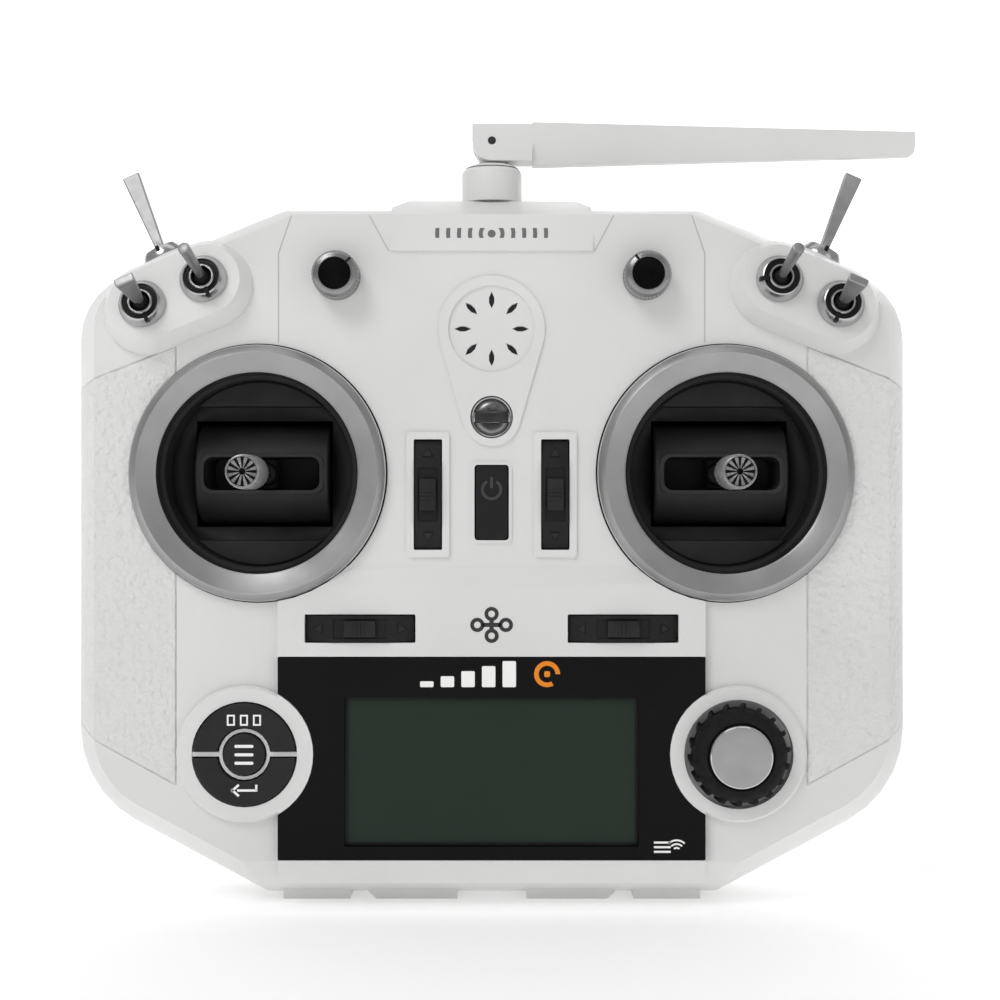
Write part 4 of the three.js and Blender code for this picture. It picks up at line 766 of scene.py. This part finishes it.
def stick(side):
    place = on_face(middle("gimbal_ring_" + side).x, middle("gimbal_ring_" + side).z,
                    FACE_Y - PIVOT_DEPTH * MM)
    hub = turned("stick_hub_" + side, [
        (1.2, -6.5), (1.2, -3.6), (3.0, -3.6), (3.2, -3.4), (3.2, 3.4), (3.0, 3.6), (1.2, 3.6),
        (1.2, 6.5)], sides=40)
    hub.data.transform(Matrix.Rotation(math.radians(90), 4, "X"))
    collar = turned("stick_collar", [(2.9, 0), (2.9, 5.2), (2.5, 6.0), (1.7, 6.4)], sides=32)
    hub = join(hub, collar)
    paint(hub, GIMBAL_ABS)
    thread = [(1.6 if step % 2 else 1.38, 6.2 + step * 0.35) for step in range(66)]
    rod = turned("stick_rod_" + side, [(1.4, 1.0), (1.4, 6.0)] + thread, sides=20)
    paint(rod, ZINC)
    fit(hub, place, side + "_stick", finish_of="gimbal_frame_" + side)
    fit(rod, place, side + "_stick", "stick_shaft_" + side)
    return thumb_piece(side, place)

def thumb_piece(side, place):
    rows = [TIP_BACK + 1.0 + KNURL_PITCH * row for row in range(19)]
    tip = turned("stick_tip_skin_" + side, [
        (1.75, TIP_BACK), (3.1, TIP_BACK), (3.7, TIP_BACK + 0.5), (3.7, TIP_BACK + 0.8)]
        + [(TIP_R, row) for row in rows] + [
        (3.7, TIP_FRONT - 0.7), (3.85, TIP_FRONT - 0.4), (3.75, TIP_FRONT - 0.05),
        (3.6, TIP_FRONT), (3.35, TIP_FRONT), (3.25, TIP_FRONT - 0.3), (3.15, TIP_FRONT - 0.45),
        (1.9, TIP_FRONT - 0.55), (0.95, TIP_FRONT - 0.4), (0.75, TIP_FRONT - 0.4),
        (0.7, TIP_FRONT - 2.0), (0, TIP_FRONT - 2.0)], sides=KNURL_SIDES)
    step = 2 * math.pi / KNURL_SIDES
    def sunk(point):
        row = (point.z - rows[0]) / KNURL_PITCH
        on_knurl = point.xy.length > TIP_R - 0.02 and -0.1 < row < 18.1
        column = round(math.atan2(point.y, point.x) / step)
        return on_knurl and (round(row) + column) % 2
    def fluted(point):
        column = round(math.atan2(point.y, point.x) / step)
        return 0.9 < point.xy.length < 3.2 and point.z > TIP_FRONT - 0.6 and column % 4 == 0
    pick(tip)
    edit_mode()
    mark(tip, sunk)
    bpy.ops.transform.resize(value=(0.88, 0.88, 1), center_override=(0, 0, 0))
    mark(tip, fluted)
    bpy.ops.transform.translate(value=(0, 0, -0.75 * MM))
    object_mode()
    smooth(tip, 12)
    paint(tip, KNURLED)
    paint(tip, TURNED, lambda c: c.xy.length < 3.7 and c.z > TIP_FRONT - 1)
    paint(tip, GIMBAL_ABS, lambda c: c.xy.length < 0.74 and c.z > TIP_FRONT - 2.5)
    return fit(tip, place, side + "_stick", "stick_tip_" + side)

for side in SIDES:
    gimbal_ring(side)
    gimbal_bowl(side)
    gimbal_drum(side)
    stick(side)
print("gimbals made, thumb pieces with", KNURL_SIDES, "sides")

# %% [markdown]
# ## Toggle switches
# A toggle is a plated cone nut, a black ring with a locating key, the plated bushing and a black
# seal that the lever passes through. The pod switches stand square on the pods and the shoulder
# switches point up, so each switch gets its own place from its hinge: the nut's axis is square
# to the hinge.

# %% Switch places and nuts
PIVOT_ABOVE_NUT = 1.0
POD_TILT, SHOULDER_TURN = -10, -90
SWITCHES = {"outer": POD_TILT, "inner": POD_TILT, "shoulder": SHOULDER_TURN}

def switch_place(side, kind, lean=0.0, sideways=0.0):
    joint = JOINTS[f"{side}_{kind}_toggle_flick"]
    hinge = Vector(joint["axis"])
    pivot = Vector(joint["pos_m"])
    out = Matrix.Rotation(math.radians(SWITCHES[kind]), 3, hinge) @ Vector((0, -1, 0))
    up = out.cross(hinge)
    upright = standing(pivot, out, up)
    lift = Matrix.Rotation(math.radians(-lean), 4, "X")
    side_lean = Matrix.Rotation(math.radians(sideways), 4, "Y")
    return upright @ lift @ side_lean

def switch_nut(side, kind, key_turn):
    name = f"{side}_{kind}_toggle"
    base = -PIVOT_ABOVE_NUT
    cone = turned(name + "_cone", [
        (4.2, base + 0.15), (5.6, base + 0.15), (5.6, base + 1.0), (4.55, base + 2.85),
        (4.3, base + 2.95), (4.2, base + 2.8), (4.2, base + 0.15)], sides=64)
    paint(cone, CHROME)
    black_ring = turned(name + "_ring", [
        (3.0, base + 0.3), (4.15, base + 0.3), (4.15, base + 2.4), (3.6, base + 2.45),
        (3.5, base + 2.3), (3.4, base + 2.45), (3.0, base + 2.45), (3.0, base + 0.3)], sides=64)
    key = block("key", (-0.5, 0.5), (-5.25, -3.2), (base + 0.8, base + 3.08), rim=0.1)
    turn_about_z(key, key_turn)
    black_ring = join(black_ring, key)
    paint(black_ring, TRIM_ABS)
    bushing = turned(name + "_bushing", [
        (2.35, base + 0.2), (3.0, base + 0.2), (3.0, base + 2.9), (2.85, base + 3.1),
        (2.5, base + 3.1), (2.35, base + 2.9), (2.35, base + 0.2)], sides=48)
    paint(bushing, CHROME)
    place = switch_place(side, kind)
    fit(cone, place, "case", name + "_nut")
    fit(bushing, place, "case", finish_of=name + "_nut")
    fit(black_ring, place, "case", finish_of="gimbal_frame_left")

# %% [markdown]
# The inner levers are round bats, the outer ones are flat paddles and the shoulder levers are
# long flat paddles that flare. A paddle is drawn as a cube whose far end is resized. Each lever
# leans away from its nut's axis, because a toggle rests at one end of its throw, and a black
# ball seals it.

# %% Levers
def round_bat(name, length):
    return turned(name, [(1.0, 1.0), (1.05, 3.0), (1.3, length - 4), (1.45, length - 0.5),
                         (1.35, length - 0.15), (1.1, length)], sides=32)

def paddle(name, length, root, tip, thickness):
    blade = block(name, (-root / 2, root / 2), (-thickness / 2, thickness / 2), (2.4, length))
    pick(blade)
    edit_mode()
    mark(blade, lambda p: p.z > length - 0.1)
    bpy.ops.transform.resize(value=(tip / root, 1, 1), center_override=(0, 0, 0))
    object_mode()
    round_edges(blade, 0.42, segments=4)
    neck = turned("neck", [(1.0, 0.5), (1.1, 3.0), (1.05, 4.2)], sides=24)
    return join(blade, neck)

LEAN = {"outer": 10, "inner": 14, "shoulder": 12}
SHOULDER_SIDEWAYS = -3.5

def lever(side, kind):
    name = f"{side}_{kind}_toggle_lever"
    if kind == "inner":
        piece = round_bat(name + "_skin", 14.5)
    elif kind == "outer":
        piece = paddle(name + "_skin", 13, 2.4, 4.8, 2.1)
    else:
        piece = paddle(name + "_skin", 23.7, 2.4, 4.6, 2.0)
    paint(piece, NICKEL)
    seal = turned(name + "_seal", [(0.6, -2.1), (1.7, -1.4), (2.2, 0.0), (1.95, 1.0),
                                   (1.4, 1.7), (1.15, 1.9)], sides=32)
    paint(seal, RUBBER)
    sideways = SIDES[side] * SHOULDER_SIDEWAYS if kind == "shoulder" else 0
    place = switch_place(side, kind, LEAN[kind], sideways)
    body = f"{side}_{kind}_toggle"
    fit(piece, place, body, name)
    fit(seal, place, body, finish_of="gimbal_frame_left")

KEY_TURNS = {("right", "inner"): -60}
for side in SIDES:
    for kind in SWITCHES:
        switch_nut(side, kind, KEY_TURNS.get((side, kind), 0))
        lever(side, kind)

# %% [markdown]
# ## Side knobs
# The two small knobs are turned aluminium with fine notches round them, a bright chamfer, and
# a black disc let into the face. A black line in the rim points to the setting.

# %% Knobs
POT_R, POT_NOTCHES = 5.6, 36
POINTER_TURN = {"left": -45, "right": 35}

def side_knob(side):
    node = side + "_pot_knob"
    body = turned(node + "_skin", [
        (2.5, -5), (2.5, 0.3), (POT_R, 0.3), (POT_R, 1.0), (POT_R - 0.02, 3.4), (POT_R, 5.9),
        (POT_R - 0.1, 6.1), (POT_R - 0.45, 6.8), (POT_R - 0.6, 7.1), (4.6, 7.35), (3.95, 7.5),
        (3.85, 7.5), (3.8, 7.2), (3.75, 7.1), (2.5, 7.1), (1.2, 7.1), (0, 7.1)],
        sides=2 * POT_NOTCHES)
    step = math.pi / POT_NOTCHES
    pick(body)
    edit_mode()
    mark(body, lambda p: p.xy.length > POT_R - 0.15 and 0.9 < p.z < 6.05
         and round(math.atan2(p.y, p.x) / step) % 2)
    bpy.ops.transform.resize(value=(0.955, 0.955, 1), center_override=(0, 0, 0))
    object_mode()
    smooth(body, 25)
    paint(body, TURNED)
    paint(body, TURNED_BLACK, lambda c: c.xy.length < 3.8 and c.z > 7)
    place = on_face(middle(node).x, middle(node).z)
    fit(body, place, side + "_pot", node)
    line = block(node + "_line", (-0.3, 0.3), (3.7, 5.25), (6.6, 7.56), rim=0.05)
    turn_about_z(line, POINTER_TURN[side])
    paint(line, TRIM_ABS)
    fit(line, place, side + "_pot", finish_of="gimbal_frame_left")

for side in SIDES:
    side_knob(side)

# %% [markdown]
# ## Speaker, eyelet and print
# Behind the eight slots a dust cloth covers the speaker. Below it is a plated cup with a bar
# across it for the neck strap's hook.

# %% Strap eyelet
def eyelet():
    cup = turned("eyelet_cup", [
        (4.75, -4.6), (4.85, -4.5), (4.85, -0.1), (4.7, 0.05), (4.5, -0.1), (4.45, -0.5),
        (4.3, -2.2), (3.6, -3.2), (2.4, -3.8), (1.2, -4.05), (0, -4.1)], sides=72)
    bar = block("bar", (-4.6, 4.6), (-1.35, 1.35), (-1.7, -0.25), rim=0.55)
    piece = join(cup, bar)
    smooth(piece)
    paint(piece, CHROME)
    # Painted reflection: the middle of the bar's front is dark, for the dark band that the plated
    # bar mirrors across its face.
    paint(piece, DARK_STEEL_AND_PAINTED_REFLECTION, lambda c: abs(c.x) < 3 and abs(c.y) < 1 and -0.6 < c.z < 0)
    centre = middle("strap_eyelet")
    return fit(piece, on_face(centre.x, centre.z), "case", "strap_eyelet")

eyelet()

# %% [markdown]
# The print on the case is made of generic signs: radio waves, a small multirotor seen from
# above and a row of signal bars. An arc is a short bar that is spun round a centre.

# %% Printed signs
PRINT_HEIGHT = 0.05

def arc(radius, width, start, sweep, height=PRINT_HEIGHT, x=0.0, y=0.0, steps=24):
    deselect()
    bpy.ops.mesh.primitive_cube_add(size=1)
    piece = bpy.context.object
    edit_mode()
    bpy.ops.mesh.select_all(action="SELECT")
    bpy.ops.transform.resize(value=(width * MM, 0, height * MM), center_override=(0, 0, 0))
    bpy.ops.mesh.remove_doubles(threshold=0.001 * MM)
    bpy.ops.transform.translate(value=(radius * MM, 0, height / 2 * MM))
    bpy.ops.mesh.select_all(action="SELECT")
    bpy.ops.mesh.spin(steps=steps, angle=math.radians(sweep), center=(0, 0, 0), axis=(0, 0, 1))
    bpy.ops.mesh.select_all(action="SELECT")
    bpy.ops.mesh.remove_doubles(threshold=0.001 * MM)
    bpy.ops.mesh.normals_make_consistent(inside=False)
    object_mode()
    spread = [vertex.co for vertex in piece.data.vertices]
    backwards = min(co.y for co in spread) < -0.1 * MM
    turn_about_z(piece, start + (sweep if backwards else 0))
    piece.data.transform(Matrix.Translation((x * MM, y * MM, 0)))
    return piece

def bar(x, y, height=PRINT_HEIGHT, turn=0.0, corner=0.0):
    piece = block("bar", x, y, (0, height), corner=corner, corner_segments=3)
    if turn:
        turn_about_z(piece, turn, sum(x) / 2, sum(y) / 2)
    return piece

def printed(name, parts, material, place, body="case", finish_of="screen_bezel"):
    piece = join(*parts)
    piece.name = piece.data.name = name
    paint(piece, material)
    return fit(piece, place, body, finish_of=finish_of)

def surface_y(piece, x, z):
    """Where a level line from the front first meets a piece, so that print lies on it."""
    hit, point, _, _ = piece.ray_cast(Vector((x, -1, z)), Vector((0, 1, 0)))
    return point.y if hit else FACE_Y

# The shallow steps between the facets of the face are painted shade: thin grey strips laid on it,
# not grooves.
# Each runs between two points (x, z) in mm from the middle of the case, on both sides.
SEAM_X = 50.9
SEAM_HALF_WIDTH = 0.15
SEAM_STRIPS = [((SEAM_X, 135.6), (SEAM_X, 157)), ((SEAM_X, 60.5), (SEAM_X, 73.4)),
               ((47.8, 166), (SEAM_X, 157)), ((29.2, 166), (24.6, 157.5))]
seams = []
for sign in (-1, 1):
    for (x0, z0), (x1, z1) in SEAM_STRIPS:
        half = math.hypot(x1 - x0, z1 - z0) / 2
        seam = bar((-half, half), (-SEAM_HALF_WIDTH, SEAM_HALF_WIDTH))
        turn_about_z(seam, math.degrees(math.atan2(z1 - z0, sign * (x1 - x0))))
        x, z = sign * (x0 + x1) / 2 * MM, (z0 + z1) / 2 * MM
        seam.data.transform(Matrix.Translation((x, z, 0)))
        seams.append(seam)
printed("seam_shadow_strips", seams, SEAM_SHADE, on_face(CASE_X, 0), finish_of="front_housing")

MARK_Z, WAVE_HALF_HEIGHT = 161.6 * MM, 1.8
rise = 2 * WAVE_HALF_HEIGHT * MM
low_y, mark_y, high_y = [surface_y(front, CASE_X, MARK_Z + k * rise / 2) for k in (-1, 0, 1)]
mark_place = standing((CASE_X, mark_y, MARK_Z), (0, -rise, high_y - low_y), (0, 0, 1))
print("top mark lies at y", round(mark_y / MM, 2), "mm and leans back",
      round((high_y - low_y) / MM, 2), "mm over its height")
waves = [turned("dot", [(0.95, 0), (0.95, PRINT_HEIGHT)], sides=24)]
for radius in (2.6, 5.2, 7.8, 10.4, 13.0):
    half = math.degrees(math.asin(WAVE_HALF_HEIGHT / radius))
    waves += [arc(radius, 0.95, turn - half, 2 * half, steps=12) for turn in (0, 180)]
printed("waves_print", waves, GREY_INK, mark_place, finish_of="front_housing")

rotors = []
for turn in range(0, 360, 90):
    rotors.append(arc(1.25, 0.9, 0, 360, x=3.4 * math.cos(math.radians(turn)),
                      y=2.6 * math.sin(math.radians(turn)), steps=24))
rotors.append(bar((-2.2, 2.2), (-0.5, 0.5)))
rotors.append(bar((-0.5, 0.5), (-1.45, 1.45), height=PRINT_HEIGHT + 0.01))
printed("multirotor_print", rotors, CHARCOAL_INK, on_face(CASE_X, 68.3 * MM, PANEL_Y),
        finish_of="front_housing")

bars = [bar((-17 + 4.9 * k, -13.8 + 4.9 * k), (-3.1, -1.7 + 1.2 * k), corner=0.3)
        for k in range(5)]
printed("signal_bars_print", bars, WHITE_INK, on_face(CASE_X, 56.6 * MM, BEZEL_FRONT))
target = [arc(2.55, 1.1, 0, 300, x=13.2, steps=26), bar((12.5, 13.9), (-0.7, 0.7), corner=0.35)]
printed("ring_print", target, ORANGE_INK, on_face(CASE_X, 56.6 * MM, BEZEL_FRONT))
small = [arc(0.9 + 0.9 * k, 0.42, 45, 90, steps=8) for k in range(3)]
small += [bar((-5.4, -1.4), (-0.3 + 1.1 * k, 0.2 + 1.1 * k)) for k in range(3)]
printed("small_wave_print", small, WHITE_INK, on_face(CASE_X + 44 * MM, 14.4 * MM, BEZEL_FRONT))

# %% [markdown]
# ## Keys
# The keys are charcoal ABS with rounded rims. Their signs are generic: three sheets for turning
# pages, a returning arrow for going back, and three bars for the menu.

# %% Keys and their signs
for node in ("page_button", "exit_button", "menu_button"):
    softened(node, 0.35, KEY_ABS, segments=3)
softened("power_button", 0.4, TRIM_ABS, segments=3)
SIGN_ABS = black_abs("grey_sign_abs", "#3c3c3d", "#454546", 0.4)

KEY_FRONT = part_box("menu_button")[0].y
key_place = on_face(middle("menu_button").x, middle("menu_button").z, KEY_FRONT)
menu_bars = [bar((-2.25, 2.25), (y - 0.36, y + 0.36), corner=0.3) for y in (-2.0, 0, 2.0)]
printed("menu_sign", menu_bars, WHITE_INK, key_place, "menu_key", "menu_button")
sheets = []
for x in (-3.1, 0, 3.1):
    sheets += [bar((x - 0.95, x + 0.95), (y - 0.2, y + 0.2)) for y in (7.1, 9.3)]
    sheets += [bar((x + s - 0.2, x + s + 0.2), (7.3, 9.1)) for s in (-0.75, 0.75)]
printed("page_sign", sheets, WHITE_INK, key_place, "page_key", "page_button")
arrow = [bar((-1.6, 3.2), (-8.75, -8.2)), bar((-3.3, -0.9), (-8.2, -7.65), turn=42),
         bar((-3.3, -0.9), (-9.3, -8.75), turn=-42), bar((2.65, 3.2), (-8.4, -7.1))]
printed("return_sign", arrow, WHITE_INK, key_place, "exit_key", "exit_button")

POWER_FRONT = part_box("power_button")[0].y
power_place = on_face(middle("power_button").x, middle("power_button").z + 3.1 * MM, POWER_FRONT)
power_sign = [arc(2.2, 0.7, 120, 300, height=0.2, steps=30),
              bar((-0.35, 0.35), (0.3, 3.0), height=0.2)]
printed("power_sign", power_sign, SIGN_ABS, power_place, "power_key", "power_button")

# %% [markdown]
# ## Trims
# A trim is a crowned black insert with a ribbed tab that slides in it. The ribs are thin bars
# set across the tab, and small raised triangles at the ends show which way each one goes.

# %% Trims
def triangle(name, size_mm, height, turn):
    deselect()
    bpy.ops.mesh.primitive_circle_add(vertices=3, radius=size_mm * MM, fill_type="NGON")
    piece = bpy.context.object
    piece.name = name
    edit_mode()
    bpy.ops.mesh.select_all(action="SELECT")
    bpy.ops.mesh.extrude_region_move(TRANSFORM_OT_translate={"value": (0, 0, height * MM)})
    bpy.ops.transform.resize(value=(0.78, 0.78, 1), center_override=(0, 0, height * MM))
    bpy.ops.mesh.select_all(action="SELECT")
    bpy.ops.mesh.normals_make_consistent(inside=False)
    object_mode()
    return turn_about_z(piece, turn)

TRIM_HALF, TRIM_TAB = 12.9, (3.8, 7.6)
CHANNEL_HALF_WIDTH, CHANNEL_HALF_LENGTH, CHANNEL_DEPTH = 2.35, 6.4, 0.4

def trim(side, kind):
    node = f"{side}_{kind}_trim"
    level = kind == "level"
    centre = middle(node + "_insert")
    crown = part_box(node + "_insert")[0].y
    place = on_face(centre.x, centre.z, crown)
    insert = node_copy(node + "_insert", flatten=False)
    round_edges(insert, 0.25)
    channel = block("channel", (-CHANNEL_HALF_WIDTH, CHANNEL_HALF_WIDTH),
                    (-CHANNEL_HALF_LENGTH, CHANNEL_HALF_LENGTH),
                    (-CHANNEL_DEPTH - 0.4, -CHANNEL_DEPTH))
    if level:
        turn_about_z(channel, -90)
    channel.data.transform(place)
    insert = join(insert, channel)
    paint(insert, TRIM_ABS)
    fit(insert, Matrix.Identity(4), "case", node + "_insert")
    signs = []
    for end in (1, -1):
        sign = triangle("sign", 1.5, 0.3, 0 if end > 0 else 180)
        tilt = math.atan2(1.9, TRIM_HALF / 2) * end
        sign.data.transform(Matrix.Translation((0, end * 9.7 * MM, -0.86 * MM))
                            @ Matrix.Rotation(-tilt, 4, "X"))
        signs.append(sign)
    piece = join(*signs)
    piece.name = piece.data.name = node + "_signs"
    if level:
        turn_about_z(piece, -90)
    paint(piece, KEY_ABS)
    fit(piece, place, "case", finish_of=node + "_insert")
    trim_tab(node, level, place)

def trim_tab(node, level, place):
    wide, long = TRIM_TAB
    high = (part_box(node + "_insert")[0].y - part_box(node + "_tab")[0].y) / MM
    tab = block(node + "_tab_skin", (-wide / 2, wide / 2), (-long / 2, long / 2),
                (0.05 - CHANNEL_DEPTH, high - 0.35), rim=0.2)
    ribs = []
    for step in range(-3, 4):
        ribs.append(block("rib", (-wide / 2 + 0.15, wide / 2 - 0.15),
                          (0.88 * step - 0.24, 0.88 * step + 0.24),
                          (high - 0.5, high - 0.12 * abs(step) ** 1.2), rim=0.14))
    piece = join(tab, *ribs)
    if level:
        turn_about_z(piece, -90)
    paint(piece, KEY_ABS)
    return fit(piece, place, node, node + "_tab")

for side in SIDES:
    for kind in ("upright", "level"):
        trim(side, kind)

# %% [markdown]
# ## Encoder
# The encoder's tyre is rubber with eighteen slanting ribs. It is turned first, with four sides
# to a rib; every fourth column of faces is then extruded outwards, and each ring is turned a
# little further than the last, which slants the ribs. The cap is spun aluminium with a bright
# bevel.

# %% Encoder knob
TEETH, KNOB_R, TOOTH_ROOT = 18, 12.1, 11.15
KNOB_FRONT = 7.1

def encoder_knob():
    knob = turned("encoder_tyre", [
        (3.3, 0.05), (TOOTH_ROOT - 0.3, 0.05), (TOOTH_ROOT, 0.4), (TOOTH_ROOT, 1.6),
        (TOOTH_ROOT, 2.8), (TOOTH_ROOT, 4.0), (TOOTH_ROOT, 5.0), (TOOTH_ROOT - 0.55, 6.0),
        (9.9, 6.7), (9.2, KNOB_FRONT), (8.1, KNOB_FRONT), (7.9, 6.9), (7.8, 6.1), (3.3, 6.1),
        (3.3, 0.05)], sides=4 * TEETH)
    pick(knob)
    edit_mode()
    step = 2 * math.pi / (4 * TEETH)
    mark(knob, lambda c: c.xy.length > 10 and 0.4 < c.z < 6.0
         and math.floor(math.atan2(c.y, c.x) / step) % 4 == 0, kind="FACE")
    bpy.ops.mesh.extrude_region_move(TRANSFORM_OT_translate={"value": (0, 0, 0)})
    grow = KNOB_R / TOOTH_ROOT
    bpy.ops.transform.resize(value=(grow, grow, 1), center_override=(0, 0, 0))
    object_mode()
    for vertex in knob.data.vertices:
        if vertex.co.xy.length > 10 * MM:
            slant = math.radians(7) * vertex.co.z / (6 * MM)
            vertex.co = Matrix.Rotation(slant, 3, "Z") @ vertex.co
    round_edges(knob, 0.18, segments=2, angle=40)
    paint(knob, RUBBER)
    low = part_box("encoder_knob")[1].y
    place = on_face(middle("encoder_knob").x, middle("encoder_knob").z, low)
    fit(knob, place, "encoder_dial", "encoder_knob")
    cap = turned("encoder_cap_skin", [
        (7.6, 6.15), (7.6, 7.35), (7.35, 7.75), (7.1, 7.98), (6.9, 8.0), (4.6, 8.0), (2.3, 8.0),
        (0, 8.0)], sides=96)
    paint(cap, CAP_METAL)
    paint(cap, BRIGHT_EDGE, lambda c: c.xy.length > 7.0 and c.z > 7)
    fit(cap, place, "encoder_dial", "encoder_cap")

encoder_knob()

# %% [markdown]
# ## Screen
# The bezel is a flat acrylic sheet, and the glass behind its window gets the dark rim that its
# sealing tape leaves.

# %% Screen
softened("screen_bezel", 0.12, ACRYLIC)
window_x, window_z = 35.0, 17.75
lcd_middle = middle("lcd_panel")
tape = block("lcd_tape", (-window_x - 0.6, window_x + 0.6), (-window_z - 0.6, window_z + 0.6),
             (0.0, 0.08), rim=0.02)
cut(tape, block("tape_window", (-window_x + 0.9, window_x - 0.9),
                (-window_z + 0.9, window_z - 0.9), (-1, 1)))
paint(tape, TRIM_ABS)
fit(tape, on_face(lcd_middle.x, lcd_middle.z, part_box("lcd_panel")[0].y), "case",
    finish_of="lcd_panel")

# %% [markdown]
# ## Antenna
# The antenna folds on a pin in a swivelling knuckle. The nodes have the shapes; the mouldings get
# their rounded edges, and the pin's ends are dark steel in countersinks.

# %% Antenna
for node in ("antenna_post", "antenna_knuckle", "antenna_blade"):
    softened(node, 0.4 if node == "antenna_blade" else 0.3, WHITE_ABS)
NODE_FINISHES = {"antenna_pin": DARK_STEEL_AND_PAINTED_REFLECTION, "main_board": MASK, "lcd_panel": SCREEN_GLASS,
                 "speaker": DUST_CLOTH, "battery_pack": WRAP, "encoder_shaft": ZINC}
pin = middle("antenna_pin")
for face in (-1, 1):
    ring = turned("pin_countersink", [(1.02, -0.1), (1.42, -0.1), (1.42, 0.06), (1.25, 0.1),
                                      (1.02, 0.02), (1.02, -0.1)], sides=32)
    paint(ring, WHITE_ABS)
    fit(ring, standing((pin.x, face * 4.5 * MM, pin.z), (0, face, 0), (0, 0, 1)),
        "antenna_mast", finish_of="antenna_blade")

# %% [markdown]
# ## The back
# The back has a carrying handle, a battery door with a latch and finger ridges, a cover over the
# module bay with ridges of its own, and four screws with cross recesses.

# %% Back pieces
softened("carry_handle", 1.2, WHITE_ABS, segments=4, angle=50)
softened("battery_door", 0.35, WHITE_ABS)
softened("module_cover", 0.6, WHITE_ABS, segments=3)

def on_back(x, z, y):
    return standing((x, y, z), (0, 1, 0), (0, 0, 1))

door_low, door_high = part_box("battery_door")
ridges = [block("ridge", (-11 + inset, 11 - inset), (y - 0.35, y + 0.35), (-0.1, 0.45), rim=0.18)
          for inset, y in ((3, 0), (1.5, 1.7), (0, 3.4), (0, 5.1))]
door_ridges = join(*ridges)
door_ridges.name = "door_ridges"
paint(door_ridges, WHITE_ABS)
fit(door_ridges, on_back(CASE_X, door_high.z - 9 * MM, door_high.y), "battery_lid",
    finish_of="battery_door")

cover_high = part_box("module_cover")[1]
ridges = [block("ridge", (-17, 17), (y - 0.45, y + 0.45), (-0.1, 0.5), corner=0.4, rim=0.2)
          for y in range(-24, -11, 3)]
ridges += [block("ridge", (-17, 17), (y - 0.45, y + 0.45), (-0.1, 0.5), corner=0.4, rim=0.2)
           for y in range(12, 25, 3)]
cover_ridges = join(*ridges)
cover_ridges.name = "cover_ridges"
paint(cover_ridges, WHITE_ABS)
fit(cover_ridges, on_back(CASE_X, middle("module_cover").z, cover_high.y), "case",
    finish_of="module_cover")

for height in ("lower", "upper"):
    for side in SIDES:
        node = f"case_screw_{height}_{side}"
        head = turned(node + "_skin", [(1.4, -30), (1.4, -0.2), (2.8, -0.2), (2.8, 0.9),
                                       (2.4, 1.5), (1.2, 1.95), (0, 2.0)], sides=36)
        for turn in (0, 90):
            slot = block("slot", (-1.5, 1.5), (-0.3, 0.3), (0.9, 3))
            cut(head, turn_about_z(slot, turn))
        smooth(head)
        paint(head, ZINC)
        centre = middle(node)
        fit(head, on_back(centre.x, centre.z, 22 * MM), "case", node)

# %% [markdown]
# Every node that still shows gets the finish of its kind.

# %% Finishes of the nodes that stay
def finish_node(name, material):
    node = NODES[name]
    node.data.materials.clear()
    node.data.materials.append(material)

for name, material in NODE_FINISHES.items():
    finish_node(name, material)
